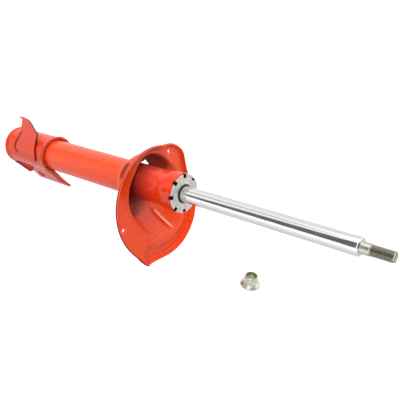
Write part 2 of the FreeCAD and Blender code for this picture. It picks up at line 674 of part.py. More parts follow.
# ------------------------------------------------------------------ rod
b = new_body("piston_rod")
revolve(b, "rod", [
    ("rod_bore_r", "rod_end_z"), ("spigot_r - 0.8", "rod_end_z"), ("spigot_r", "rod_end_z + 0.8"),
    ("spigot_r", "rod_seat_z"), ("rod_r", "rod_seat_z"), ("rod_r", "shoulder_z - 1"),
    ("rod_r - 1", "shoulder_z"), ("shank_r", "shoulder_z"), ("shank_r", "shank_top_z - 0.4"),
    ("stud_r", "shank_top_z"), ("stud_r", "stud_end_z - 1.2"), ("stud_r - 1.2", "stud_end_z"),
    ("stud_cbore_r", "stud_end_z"), ("stud_cbore_r", "stud_cbore_z"), ("rod_bore_r", "stud_cbore_z")])
pocket(b, "bleed_hole", "XZ_Plane", lambda sk: circle(sk, "0", "262.5", "1.5"), "24", midplane=True)
keep(b)

b = new_body("piston_body")
revolve(b, "piston", [
    ("6.12", "piston_bottom_z"), ("piston_r", "piston_bottom_z"), ("piston_r", "243.5"),
    ("band_groove_r", "243.5"), ("band_groove_r", "250.5"), ("piston_r", "250.5"),
    ("piston_r", "piston_top_z"), ("7.8", "piston_top_z"), ("7.8", "257.9"), ("6.12", "257.9")])
f = pocket(b, "comp_port", "XY_Plane", lambda sk: circle(sk, "11.4", "0", "1.4"), "16", "240", flip=True)
polar(b, "comp_ports", f, 6)
f = pocket(b, "reb_port", "XY_Plane", lambda sk: circle(sk, "7.7", "4.4", "0.9"), "16", "240", flip=True)
polar(b, "reb_ports", f, 6)
keep(b)

b = new_body("piston_band")
revolve(b, "band", [("band_groove_r + 0.1", "243.7"), ("band_outer_r", "243.7"),
                    ("band_outer_r", "250.3"), ("band_groove_r + 0.1", "250.3")])
keep(b)

b = new_body("rebound_discs")
revolve(b, "disc_stack", [("6.12", "238.2"), ("9", "238.2"), ("9", "239"), ("10.6", "239.1"), ("10.6", "240"),
                          ("12.6", "240.1"), ("12.6", "241"), ("6.12", "241")])
keep(b)

b = new_body("piston_nut")
pad(b, "nut_hex", "XY_Plane", lambda sk: polygon(sk, [
    ("9.815", "0"), ("4.907", "8.5"), ("-4.907", "8.5"), ("-9.815", "0"), ("-4.907", "-8.5"), ("4.907", "-8.5")]),
    "8.2", "229.8")
pocket(b, "nut_thread", "XY_Plane", lambda sk: circle(sk, "0", "0", "spigot_r + 0.08"), "12", "228", flip=True)
keep(b)

b = new_body("piston_check_plate")
revolve(b, "plate", [("8.1", "253.3"), ("13.8", "253.3"), ("13.8", "254.1"), ("8.1", "254.1")])
keep(b)

b = new_body("piston_check_spring")
revolve(b, "cone", [("8.05", "257.35"), ("8.05", "257.8"), ("9.6", "257.8"), ("12.8", "254.65"),
                    ("12.8", "254.2"), ("9.4", "257.35")])
keep(b)

b = new_body("rebound_stop")
revolve(b, "stop_ring", [("rod_r + 0.1", "285"), ("13.6", "285"), ("14", "285.4"), ("14", "291"),
                         ("rod_r + 0.1", "291")])
keep(b)

b = new_body("rebound_bumper")
revolve(b, "bumper", [("rod_r + 0.15", "291.1"), ("13.4", "291.1"), ("14.1", "293"), ("13.2", "298"),
                      ("14.1", "303"), ("13.4", "304.7"), ("rod_r + 0.15", "304.7")])
keep(b)

# ------------------------------------------------------------- adjuster
b = new_body("adjuster_shaft")
revolve(b, "shaft", [("0", "268.2"), ("adjuster_r", "268.2"), ("adjuster_r", "589.4"), ("1.8", "589.4"),
                     ("1.8", "590.6"), ("adjuster_r", "590.6"), ("adjuster_r", "601"),
                     ("adjuster_head_r", "601"), ("adjuster_head_r", "adjuster_end_z - 0.4"),
                     ("adjuster_head_r - 0.4", "adjuster_end_z"), ("0", "adjuster_end_z")])
pocket(b, "driver_slot", "XY_Plane", lambda sk: polygon(sk, [
    ("-4", "-0.5"), ("4", "-0.5"), ("4", "0.5"), ("-4", "0.5")]), "3", "adjuster_end_z - 2.2", flip=True)
keep(b)

b = new_body("adjuster_shutter")
revolve(b, "shutter", [("0", "252"), ("2.4", "252"), ("2.72", "252.4"), ("2.72", "268.1"), ("0", "268.1")])
pocket(b, "shutter_port", "XZ_Plane", lambda sk: circle(sk, "0", "262.5", "1.1"), "10", midplane=True)
keep(b)

ring_o = doc.addObject("Part::Torus", "adjuster_o_ring")
ring_o.Label = "adjuster_o_ring"
ring_o.Radius1 = 2.25
ring_o.Radius2 = 0.42
keep(ring_o)
ring_o.Placement = LIE.multiply(FreeCAD.Placement(V(0, 0, 590), FreeCAD.Rotation()))

# ------------------------------------------------------------ loose nut
b = new_body("flange_nut")
revolve(b, "flange", [("nut_bore_r + 0.6", "0"), ("nut_flange_r - 0.6", "0"), ("nut_flange_r", "0.6"),
                      ("nut_flange_r", "2"), ("9.6", "5.4"), ("nut_bore_r", "5.4"), ("nut_bore_r", "0.6")])


def hexagon(sk):
    polygon(sk, [("0.57735*nut_af", "0"), ("0.288675*nut_af", "0.5*nut_af"), ("-0.288675*nut_af", "0.5*nut_af"),
                 ("-0.57735*nut_af", "0"), ("-0.288675*nut_af", "-0.5*nut_af"), ("0.288675*nut_af", "-0.5*nut_af")])


pad(b, "hex", "XY_Plane", hexagon, "nut_hex_top - 2", "2")
revolve(b, "hex_chamfer", [("0.5*nut_af", "nut_hex_top"), ("nut_af", "nut_hex_top - 4.9"),
                           ("nut_af", "nut_hex_top + 1"), ("0.5*nut_af", "nut_hex_top + 1")], groove=True)
revolve(b, "crown", [("insert_outer_r + 0.05", "nut_hex_top - 0.2"), ("0.5*nut_af", "nut_hex_top - 0.2"),
                     ("nut_collar_r", "nut_top - 0.9"), ("nut_collar_r - 0.6", "nut_top"),
                     ("insert_outer_r - 0.4", "nut_top"), ("insert_outer_r - 0.4", "nut_top - 0.6"),
                     ("insert_outer_r + 0.05", "nut_top - 0.7")])
pocket(b, "thread_bore", "XY_Plane", lambda sk: circle(sk, "0", "0", "nut_bore_r"), "16", "-1", flip=True)
keep(b, STAND)

b = new_body("nut_insert")
revolve(b, "insert", [("insert_inner_r", "nut_hex_top + 0.05"), ("insert_outer_r", "nut_hex_top + 0.05"),
                      ("insert_outer_r", "nut_top - 0.75"), ("insert_inner_r + 0.5", "nut_top - 0.75"),
                      ("insert_inner_r", "nut_top - 1.2")])
keep(b, STAND)

# --------------------------------------------------------------- writing
doc.recompute()
bad = [o.Name for o in doc.Objects if any(s in ("Invalid", "Error") for s in o.State)]
if bad:
    raise RuntimeError("failed objects: " + ", ".join(bad))
for o in NODES:
    s = o.Shape
    if s.isNull() or not s.isValid() or not s.Solids:
        raise RuntimeError("bad shape: " + o.Label)
os.makedirs("parts", exist_ok=True)
box = FreeCAD.BoundBox()
for o in NODES:
    o.Shape.exportStep(os.path.join("parts", o.Label + ".step"))
    bb = o.Shape.optimalBoundingBox(False)
    box.add(bb)
    print("%-22s solids %d  volume %9.1f mm3  z %.2f..%.2f" % (
        o.Label, len(o.Shape.Solids), o.Shape.Volume, bb.ZMin, bb.ZMax))
print("nodes", len(NODES), "box", [round(v, 2) for v in (box.XMin, box.YMin, box.ZMin, box.XMax, box.YMax, box.ZMax)])
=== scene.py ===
import json
import math

import bmesh
import bpy
import numpy as np
from mathutils import Matrix, Vector, noise


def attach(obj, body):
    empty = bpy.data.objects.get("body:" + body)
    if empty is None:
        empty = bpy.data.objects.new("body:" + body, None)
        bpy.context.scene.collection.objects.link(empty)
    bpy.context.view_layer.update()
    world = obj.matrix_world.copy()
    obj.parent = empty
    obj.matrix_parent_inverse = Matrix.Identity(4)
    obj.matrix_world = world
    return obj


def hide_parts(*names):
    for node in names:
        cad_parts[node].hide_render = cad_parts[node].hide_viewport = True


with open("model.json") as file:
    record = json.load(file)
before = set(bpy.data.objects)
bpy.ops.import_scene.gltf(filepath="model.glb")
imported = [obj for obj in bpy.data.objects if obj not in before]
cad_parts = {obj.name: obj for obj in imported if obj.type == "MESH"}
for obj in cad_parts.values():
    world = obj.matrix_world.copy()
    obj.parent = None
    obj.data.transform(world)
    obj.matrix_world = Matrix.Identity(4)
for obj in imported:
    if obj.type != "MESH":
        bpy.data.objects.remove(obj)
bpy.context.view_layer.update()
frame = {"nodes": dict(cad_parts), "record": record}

NODES = frame["nodes"]
FINE = 2

# ----------------------------------------------------------------- frame
# The strut's own frame, in millimetres: z along the axis from the rear edge of
# the clevis, x towards the clevis ears.  W() lays a point down in the row frame.
DOWN, TILT = math.radians(-35.544), math.radians(11.121)
_d = np.array([math.cos(DOWN), math.sin(DOWN), 0.0])
_up = np.array([-_d[0] * math.cos(TILT), -_d[1] * math.cos(TILT), math.sin(TILT)])
_ahead = np.array([_d[0] * math.sin(TILT), _d[1] * math.sin(TILT), math.cos(TILT)])
_left = np.cross(_up, _ahead)
ROT = np.array([_ahead, _left, _up])
ORG = np.array([-297.52, -12.49, 53.955])
NUT = np.array([128.2, 38.0, 0.0])


def W(p):
    return (np.asarray(p, float) @ ROT.T + ORG) * 0.001


def WN(p):
    """The loose nut's own frame, turned 12 degrees."""
    a = math.radians(12)
    r = np.array([[math.cos(a), -math.sin(a), 0], [math.sin(a), math.cos(a), 0], [0, 0, 1]])
    return (np.asarray(p, float) @ r.T + NUT) * 0.001


# ---------------------------------------------------------------- camera
cam_data = bpy.data.cameras.new("camera")
cam = bpy.data.objects.new("camera", cam_data)
bpy.context.scene.collection.objects.link(cam)
cam_data.sensor_width = 36.0
cam_data.lens = 550.0 / 400.0 * 36.0
cam_data.clip_start, cam_data.clip_end = 0.02, 60.0
eye = W([-478.63343, -204.12074, 766.06641])
fwd = ROT @ np.array([0.73564422, 0.31074829, -0.60188295])
upv = ROT @ np.array([-0.5339369, 0.81279979, -0.23295469])
right = np.cross(fwd, upv)
cam.matrix_world = Matrix((
    (right[0], upv[0], -fwd[0], eye[0]),
    (right[1], upv[1], -fwd[1], eye[1]),
    (right[2], upv[2], -fwd[2], eye[2]),
    (0, 0, 0, 1)))
bpy.context.scene.camera = cam


# --------------------------------------------------------- mesh helpers
def build(name, verts, faces, place=W, sharp=35, flip=None):
    me = bpy.data.meshes.new(name)
    me.from_pydata([tuple(v) for v in place(verts)], [], [tuple(f) for f in faces])
    me.validate()
    bm = bmesh.new()
    bm.from_mesh(me)
    bmesh.ops.remove_doubles(bm, verts=bm.verts, dist=1e-7)
    if flip is None:
        bmesh.ops.recalc_face_normals(bm, faces=bm.faces)
    elif flip:
        bmesh.ops.reverse_faces(bm, faces=bm.faces)
    bm.to_mesh(me)
    bm.free()
    for p in me.polygons:
        p.use_smooth = True
    me.set_sharp_from_angle(angle=math.radians(sharp))
    ob = bpy.data.objects.new(name, me)
    bpy.context.scene.collection.objects.link(ob)
    return ob


def bake(ob, sharp=35):
    """Applies the modifiers."""
    bpy.context.view_layer.update()
    dg = bpy.context.evaluated_depsgraph_get()
    me = bpy.data.meshes.new_from_object(ob.evaluated_get(dg))
    old = ob.data
    ob.modifiers.clear()
    ob.data = me
    bpy.data.meshes.remove(old)
    for p in me.polygons:
        p.use_smooth = True
    me.set_sharp_from_angle(angle=math.radians(sharp))
    return ob


def cut(ob, cutter, sharp=35, mode="DIFFERENCE"):
    m = ob.modifiers.new("cut", "BOOLEAN")
    m.operation = mode
    m.solver = "EXACT"
    m.object = cutter
    bake(ob, sharp)
    bpy.data.objects.remove(cutter)
    return ob


def clean(ob, dist=2e-6):
    bm = bmesh.new()
    bm.from_mesh(ob.data)
    bmesh.ops.remove_doubles(bm, verts=bm.verts, dist=dist)
    bmesh.ops.dissolve_degenerate(bm, edges=bm.edges, dist=dist)
    bm.to_mesh(ob.data)
    bm.free()


def fillet(pts, radii, n=5, closed=True):
    """Rounds the corners of a 2-D polygon."""
    out = []
    m = len(pts)
    for i, p in enumerate(pts):
        r = radii[i] if isinstance(radii, (list, tuple)) else radii
        if not closed and i in (0, m - 1) or r <= 0:
            out.append(tuple(p))
            continue
        p = np.array(p, float)
        a, b = np.array(pts[i - 1], float) - p, np.array(pts[(i + 1) % m], float) - p
        la, lb = np.linalg.norm(a), np.linalg.norm(b)
        a, b = a / la, b / lb
        c = float(np.clip(a @ b, -1, 1))
        half = math.acos(c) / 2
        if math.pi / 2 - half < 0.02:
            out.append(tuple(p))
            continue
        t = min(r / math.tan(half), 0.46 * la, 0.46 * lb)
        rr = t * math.tan(half)
        centre = p + (a + b) / np.linalg.norm(a + b) * (rr / math.sin(half))
        s, e = p + a * t - centre, p + b * t - centre
        a0, a1 = math.atan2(s[1], s[0]), math.atan2(e[1], e[0])
        d = (a1 - a0 + math.pi) % (2 * math.pi) - math.pi
        for k in range(n + 1):
            q = a0 + d * k / n
            out.append((centre[0] + rr * math.cos(q), centre[1] + rr * math.sin(q)))
    return out


def lathe(name, prof, seg=128, closed=True, place=W, warp=None, sharp=35, angles=None):
    """Turns a profile of (radius, z) about the axis; radius 0 makes a cap."""
    ang = [2 * math.pi * k / seg for k in range(seg)] if angles is None else angles
    seg = len(ang)
    verts, rows = [], []
    for r, z in prof:
        if r < 1e-6:
            rows.append([len(verts)] * seg)
            verts.append((0, 0, z))
            continue
        row = []
        for a in ang:
            rr, zz = (r, z) if warp is None else warp(r, z, a)
            row.append(len(verts))
            verts.append((rr * math.cos(a), rr * math.sin(a), zz))
        rows.append(row)
    faces = []
    n = len(rows)
    for i in range(n if closed else n - 1):
        A, B = rows[i], rows[(i + 1) % n]
        for k in range(seg):
            f = [A[k], A[(k + 1) % seg], B[(k + 1) % seg], B[k]]
            f = [v for j, v in enumerate(f) if v not in f[:j]]
            if len(f) > 2:
                faces.append(f)
    return build(name, verts, faces, place, sharp)


def box_at(name, lo, hi, place=W, turn=0.0, about=(0, 0)):
    v = []
    for x in (lo[0], hi[0]):
        for y in (lo[1], hi[1]):
            for z in (lo[2], hi[2]):
                c, s = math.cos(turn), math.sin(turn)
                v.append((about[0] + c * x - s * y, about[1] + s * x + c * y, z))
    f = [(0, 1, 3, 2), (4, 6, 7, 5), (0, 4, 5, 1), (2, 3, 7, 6), (0, 2, 6, 4), (1, 5, 7, 3)]
    return build(name, v, f, place)


def rod_at(name, a, b, r, seg=48, place=W):
    """A plain round cutter from a to b."""
    a, b = np.array(a, float), np.array(b, float)
    ax = (b - a) / np.linalg.norm(b - a)
    u = np.cross(ax, [1, 0, 0] if abs(ax[0]) < 0.8 else [0, 1, 0])
    u /= np.linalg.norm(u)
    w = np.cross(ax, u)
    v, f = [], []
    for k in range(seg):
        q = 2 * math.pi * k / seg
        d = (u * math.cos(q) + w * math.sin(q)) * r
        v += [a + d, b + d]
    for k in range(seg):
        i, j = 2 * k, 2 * ((k + 1) % seg)
        f.append((i, j, j + 1, i + 1))
    f.append([2 * k for k in range(seg)][::-1])
    f.append([2 * k + 1 for k in range(seg)])
    return build(name, np.array(v), f, place)


def smooth01(t):
    t = np.clip(t, 0.0, 1.0)
    return t * t * (3 - 2 * t)


# ------------------------------------------------------------- materials
class Nodes:
    def __init__(self, name):
        self.mat = bpy.data.materials.new(name)
        self.mat.use_nodes = True
        self.t = self.mat.node_tree
        self.bsdf = next(n for n in self.t.nodes if n.type == "BSDF_PRINCIPLED")
        self.pos = self.new("ShaderNodeTexCoord").outputs["Object"]

    def new(self, kind, **kw):
        n = self.t.nodes.new(kind)
        for k, v in kw.items():
            setattr(n, k, v)
        return n

    def link(self, a, b):
        self.t.links.new(a, b)

    def put(self, socket, value):
        if isinstance(value, bpy.types.NodeSocket):
            self.link(value, socket)
        else:
            socket.default_value = value

    def noise(self, scale, detail=4.0, rough=0.55, vec=None, stretch=None):
        v = vec or self.pos
        if stretch is not None:
            m = self.new("ShaderNodeMapping")
            m.inputs["Scale"].default_value = stretch
            self.link(v, m.inputs["Vector"])
            v = m.outputs["Vector"]
        n = self.new("ShaderNodeTexNoise")
        self.link(v, n.inputs["Vector"])
        n.inputs["Scale"].default_value = scale
        n.inputs["Detail"].default_value = detail
        n.inputs["Roughness"].default_value = rough
        return n.outputs["Fac"]

    def ramp(self, fac, stops):
        r = self.new("ShaderNodeValToRGB")
        self.link(fac, r.inputs["Fac"])
        el = r.color_ramp.elements
        while len(el) < len(stops):
            el.new(0.5)
        for e, (p, c) in zip(el, stops):
            e.position = p
            e.color = (c, c, c, 1) if isinstance(c, (int, float)) else (*c, 1)
        return r.outputs["Color"]

    def mix(self, fac, a, b, mode="MIX"):
        m = self.new("ShaderNodeMix", data_type="RGBA", blend_type=mode)
        self.put(m.inputs[0], fac)
        self.put(m.inputs[6], a if isinstance(a, bpy.types.NodeSocket) else (*a, 1))
        self.put(m.inputs[7], b if isinstance(b, bpy.types.NodeSocket) else (*b, 1))
        return m.outputs[2]

    def math(self, op, a, b=0.0, c=None):
        m = self.new("ShaderNodeMath", operation=op)
        self.put(m.inputs[0], a)
        self.put(m.inputs[1], b)
        if c is not None:
            self.put(m.inputs[2], c)
        return m.outputs[0]

    def bump(self, height, strength=0.2, distance=0.0002, normal=None):
        b = self.new("ShaderNodeBump")
        b.inputs["Strength"].default_value = strength
        b.inputs["Distance"].default_value = distance
        self.link(height, b.inputs["Height"])
        if normal is not None:
            self.link(normal, b.inputs["Normal"])
        return b.outputs["Normal"]

    def edge(self, lo=0.52, hi=0.62):
        g = self.new("ShaderNodeNewGeometry")
        return self.ramp(g.outputs["Pointiness"], [(lo, 0.0), (hi, 1.0)])


def part_xyz(n):
    """The strut's own x, y and z at the shaded point, in millimetres."""
    out = []
    for k in range(3):
        axis = ROT[:, k]
        d = n.new("ShaderNodeVectorMath", operation="DOT_PRODUCT")
        n.link(n.pos, d.inputs[0])
        d.inputs[1].default_value = tuple(1000.0 * axis)
        out.append(n.math("SUBTRACT", d.outputs["Value"], float(ORG @ axis)))
    return out


def fade(n, v, lo, hi, a=0.0, b=1.0):
    m = n.new("ShaderNodeMapRange", interpolation_type="SMOOTHSTEP")
    n.link(v, m.inputs["Value"])
    for k, x in (("From Min", lo), ("From Max", hi), ("To Min", a), ("To Max", b)):
        m.inputs[k].default_value = x
    return m.outputs["Result"]


def fade_lin(n, v, lo, hi, a=0.0, b=1.0):
    m = n.new("ShaderNodeMapRange")
    n.link(v, m.inputs["Value"])
    for k, x in (("From Min", lo), ("From Max", hi), ("To Min", a), ("To Max", b)):
        m.inputs[k].default_value = x
    return m.outputs["Result"]


def enamel(name="red_enamel", tone=None):
    n = Nodes(name)
    big = n.noise(9.0, 3.0)
    col = n.mix(big, (0.66, 0.047, 0.005), (0.72, 0.060, 0.007))
    fine = n.noise(160.0, 5.0)
    col = n.mix(n.ramp(fine, [(0.35, 0.0), (0.75, 0.16)]), col, (0.52, 0.028, 0.004))
    # the coat is paler along convex edges, partly a thin coat and partly a painted highlight, and darker in creases, a
    # painted shade
    col = n.mix(n.math("MULTIPLY", n.edge(0.54, 0.66), 0.5), col, (0.86, 0.22, 0.12))
    crease = n.new("ShaderNodeNewGeometry")
    col = n.mix(n.math("MULTIPLY", n.ramp(crease.outputs["Pointiness"], [(0.36, 1.0), (0.47, 0.0)]), 0.6), col, (0.30, 0.012, 0.003))
    # painted shade: ambient occlusion darkens the narrow gaps between the plates and other close corners
    ao = n.new("ShaderNodeAmbientOcclusion")
    ao.inputs["Distance"].default_value = 0.007
    gap_shade = n.ramp(ao.outputs["AO"], [(0.26, 0.80), (0.62, 0.0)])
    col = n.mix(gap_shade, col, (0.24, 0.009, 0.002))
    # painted shade: the colour is darkened down in the seat's cup and round the tube's root, where shade falls; the
    # same mask makes the surface rougher there
    x, y, z = part_xyz(n)
    rad = n.math("SQRT", n.math("ADD", n.math("MULTIPLY", x, x), n.math("MULTIPLY", y, y)))
    on_tube = fade(n, rad, 24.9, 25.6, 1.0, 0.0)
    cup = n.math("MULTIPLY", fade(n, z, 288.0, 274.0), fade(n, x, 46.0, 20.0))
    cup = n.math("MULTIPLY", cup, fade(n, rad, 52.0, 44.0))
    root = n.math("MULTIPLY", fade(n, z, 322.0, 282.0), on_tube)
    deep = n.math("MULTIPLY", n.math("MAXIMUM", n.math("MULTIPLY", cup, n.math("SUBTRACT", 1.0, on_tube)), root), fade(n, z, 256.5, 258.5))
    deep = n.math("MULTIPLY", deep, n.ramp(n.noise(35.0, 4.0), [(0.25, 0.82), (0.75, 1.0)]))
    face = n.new("ShaderNodeVectorMath", operation="DOT_PRODUCT")
    n.link(n.new("ShaderNodeTexCoord").outputs["Normal"], face.inputs[0])
    face.inputs[1].default_value = tuple(ROT[:, 2])
    inside = n.math("MAXIMUM", fade(n, face.outputs["Value"], -0.02, 0.06), on_tube)
    deep = n.math("MULTIPLY", deep, inside)
    # painted shade in the cup and round the tube's root
    col = n.mix(deep, col, (0.20, 0.007, 0.002))
    # past the cup the tube is glossier, and its colour is painted deeper and less pink there, a painted shade in place
    # of the paler reflections
    past_cup = n.math("MULTIPLY", fade(n, z, 258.0, 270.0), fade(n, rad, 27.5, 29.0, 1.0, 0.0))
    thick = n.math("MULTIPLY", past_cup, n.math("MAXIMUM", on_tube, fade(n, z, 322.0, 326.0)))
    # painted shade: deeper, less pink colour past the cup
    col = n.mix(n.math("MULTIPLY", thick, 0.9), col, n.mix(1.0, col, (0.90, 0.48, 0.25), mode="MULTIPLY"))
    # painted shade: the clevis's turned-out rear edges are painted dark
    low_ = n.math("SUBTRACT", z, fade_lin(n, x, 12.0, 36.0, 0.0, 14.0))
    rear = n.math("MULTIPLY", fade(n, low_, 6.3, 4.6), fade(n, x, 7.0, 11.0))
    rear = n.math("MULTIPLY", rear, n.math("MULTIPLY", fade(n, n.math("ABSOLUTE", y), 22.0, 24.5), fade(n, z, 20.5, 18.0)))
    col = n.mix(n.math("MULTIPLY", rear, 0.85), col, (0.24, 0.010, 0.003))
    # painted highlight: paler paint along the crown of the rib
    d = n.math("ADD", n.math("MULTIPLY", n.math("SUBTRACT", x, 52.0), 0.133), n.math("ADD", y, 12.7))
    rib_highlight = n.math("MULTIPLY", fade(n, n.math("ABSOLUTE", d), 1.2, 2.1, 1.0, 0.0), fade(n, x, 51.5, 53.5))
    rib_highlight = n.math("MULTIPLY", rib_highlight, n.math("MULTIPLY", fade(n, x, 86.5, 85.0), fade(n, z, 262.0, 264.0)))
    rib_highlight = n.math("MULTIPLY", rib_highlight, n.ramp(n.noise(300.0, 3.0), [(0.3, 0.55), (0.7, 0.9)]))
    col = n.mix(rib_highlight, col, (0.84, 0.30, 0.21))
    chips = n.noise(420.0, 2.0)
    chip = n.math("MULTIPLY", n.ramp(chips, [(0.70, 0.0), (0.76, 1.0)]), n.edge(0.58, 0.70))
    col = n.mix(n.math("MULTIPLY", chip, 0.6), col, (0.24, 0.05, 0.03))
    # faint streaks run along the strut
    v_ = n.new("ShaderNodeCombineXYZ")
    n.link(n.math("MULTIPLY", x, 0.001), v_.inputs[0])
    n.link(n.math("MULTIPLY", y, 0.001), v_.inputs[1])
    n.link(n.math("MULTIPLY", z, 0.00006), v_.inputs[2])
    streak = n.noise(210.0, 3.0, 0.6, vec=v_.outputs[0])
    col = n.mix(n.ramp(streak, [(0.30, 0.34), (0.44, 0.0)]), col, (0.48, 0.022, 0.004))
    col = n.mix(n.ramp(streak, [(0.60, 0.0), (0.78, 0.30)]), col, (0.80, 0.12, 0.06))
    # painted shade: the clevis is painted a little deeper in colour than the tube, and
    # painted light: the seat's outer shelf is painted a little brighter
    col = n.mix(n.math("MULTIPLY", fade(n, z, 97.0, 95.4), 0.95), col, n.mix(1.0, col, (0.82, 0.60, 0.58), mode="MULTIPLY"))
    shelf_light = n.math("MULTIPLY", fade(n, z, 254.0, 258.0), fade(n, rad, 44.0, 50.0))
    col = n.mix(shelf_light, col, n.mix(1.0, col, (1.14, 1.14, 1.14), mode="MULTIPLY"))
    if tone:
        col = n.mix(1.0, col, tone, mode="MULTIPLY")
    n.link(col, n.bsdf.inputs["Base Color"])
    r = n.ramp(n.noise(60.0, 4.0), [(0.3, 0.17), (0.7, 0.27)])
    r = n.mix(thick, r, (0.15, 0.15, 0.15))
    n.link(n.mix(deep, r, (0.7, 0.7, 0.7)), n.bsdf.inputs["Roughness"])
    n.bsdf.inputs["Specular IOR Level"].default_value = 0.38
    peel = n.noise(700.0, 2.0)
    waves = n.noise(75.0, 2.0)
    nrm = n.bump(peel, 0.18, 0.00006)
    nrm = n.bump(waves, 0.25, 0.00022, nrm)
    n.link(nrm, n.bsdf.inputs["Normal"])
    return n.mat


def zinc(name, tint, dark, spots=0.5, rough=(0.30, 0.52), metal=1.0, grain=900.0):
    n = Nodes(name)
    a = n.noise(90.0, 6.0, 0.65)
    col = n.mix(n.ramp(a, [(0.34, 0.0), (0.66, 1.0)]), dark, tint)
    v = n.new("ShaderNodeTexVoronoi")
    n.link(n.pos, v.inputs["Vector"])
    v.inputs["Scale"].default_value = 520.0
    col = n.mix(n.math("MULTIPLY", v.outputs["Distance"], spots * 0.5), col, tuple(c * 0.72 for c in tint))
    n.link(col, n.bsdf.inputs["Base Color"])
    n.bsdf.inputs["Metallic"].default_value = metal
    r = n.ramp(n.noise(240.0, 5.0), [(0.3, rough[0]), (0.7, rough[1])])
    n.link(r, n.bsdf.inputs["Roughness"])
    nrm = n.bump(n.noise(grain, 4.0), 0.35, 0.00008)
    n.link(nrm, n.bsdf.inputs["Normal"])
    return n.mat


def chrome():
    n = Nodes("rod_chrome")
    # very fine rings of the ground finish run round the rod, so the noise is
    # stretched across the strut's axis
    ax = n.new("ShaderNodeVectorMath", operation="DOT_PRODUCT")
    n.link(n.pos, ax.inputs[0])
    ahead = _ahead_world()
    ax.inputs[1].default_value = tuple(ahead)
    along = ax.outputs["Value"]
    w = n.new("ShaderNodeTexNoise", noise_dimensions="1D")
    n.link(along, w.inputs["W"])
    w.inputs["Scale"].default_value = 2600.0
    w.inputs["Detail"].default_value = 3.0
    cloud = n.noise(16.0, 4.0)
    col = n.mix(cloud, (0.65, 0.65, 0.645), (0.71, 0.71, 0.705))
    oil = n.noise(45.0, 3.0, stretch=(1.0, 1.0, 1.0))
    col = n.mix(n.ramp(oil, [(0.55, 0.0), (0.8, 0.14)]), col, (0.52, 0.50, 0.46))
    # the chrome ends at the shoulder: beyond it the stud is bare turned steel,
    # and its rolled thread is darker, with painted shade in the grooves and lighter crests
    def past(z, over):
        at = 0.001 * (z + float(ORG @ ahead))
        m = n.new("ShaderNodeMapRange")
        n.link(along, m.inputs["Value"])
        m.inputs["From Min"].default_value, m.inputs["From Max"].default_value = at, at + 0.001 * over
        return m.outputs["Result"]
    bare = past(576.9, 0.25)
    cut_ = past(586.3, 0.6)
    turned = n.mix(n.noise(170.0, 4.0), (0.42, 0.41, 0.37), (0.56, 0.55, 0.50))
    groove = n.new("ShaderNodeNewGeometry")
    deep = n.ramp(groove.outputs["Pointiness"], [(0.40, 0.0), (0.56, 1.0)])
    rolled = n.mix(n.mix(deep, (0.07, 0.065, 0.05), (0.50, 0.47, 0.40)), (0.24, 0.225, 0.185), n.mix(deep, (0.09, 0.08, 0.06), (0.58, 0.55, 0.47)))
    rolled = n.mix(n.noise(260.0, 4.0), rolled, n.mix(deep, (0.08, 0.075, 0.06), (0.40, 0.375, 0.32)))
    col = n.mix(bare, col, n.mix(cut_, turned, rolled))
    n.link(col, n.bsdf.inputs["Base Color"])
    n.bsdf.inputs["Metallic"].default_value = 1.0
    rough = n.mix(bare, n.ramp(n.noise(70.0, 3.0), [(0.3, 0.09), (0.7, 0.16)]), n.ramp(n.noise(300.0, 3.0), [(0.3, 0.20), (0.7, 0.30)]))
    n.link(rough, n.bsdf.inputs["Roughness"])
    n.link(n.bump(w.outputs["Fac"], 0.12, 0.00002), n.bsdf.inputs["Normal"])
    return n.mat


def _ahead_world():
    return ROT @ np.array([0.0, 0.0, 1.0])


def steel(name, base, dark, rough=(0.28, 0.45), metal=1.0):
    n = Nodes(name)
    col = n.mix(n.noise(120.0, 5.0), dark, base)
    col = n.mix(n.math("MULTIPLY", n.edge(0.53, 0.62), 0.5), col, tuple(min(1, c * 1.5) for c in base))
    n.link(col, n.bsdf.inputs["Base Color"])
    n.bsdf.inputs["Metallic"].default_value = metal
    n.link(n.ramp(n.noise(300.0, 4.0), [(0.3, rough[0]), (0.7, rough[1])]), n.bsdf.inputs["Roughness"])
    n.link(n.bump(n.noise(1200.0, 3.0), 0.25, 0.00004), n.bsdf.inputs["Normal"])
    return n.mat


def rubber(name, base=(0.012, 0.012, 0.013), rough=(0.42, 0.6)):
    n = Nodes(name)
    col = n.mix(n.noise(150.0, 4.0), base, tuple(c * 2.2 for c in base))
    n.link(col, n.bsdf.inputs["Base Color"])
    n.link(n.ramp(n.noise(400.0, 3.0), [(0.3, rough[0]), (0.7, rough[1])]), n.bsdf.inputs["Roughness"])
    n.link(n.bump(n.noise(900.0, 3.0), 0.3, 0.00006), n.bsdf.inputs["Normal"])
    return n.mat


def plastic(name, a, b, rough=(0.4, 0.55)):
    n = Nodes(name)
    n.link(n.mix(n.noise(110.0, 4.0), a, b), n.bsdf.inputs["Base Color"])
    n.link(n.ramp(n.noise(300.0, 3.0), [(0.3, rough[0]), (0.7, rough[1])]), n.bsdf.inputs["Roughness"])
    n.bsdf.inputs["Subsurface Weight"].default_value = 0.0
    n.link(n.bump(n.noise(1000.0, 2.0), 0.2, 0.00004), n.bsdf.inputs["Normal"])
    return n.mat


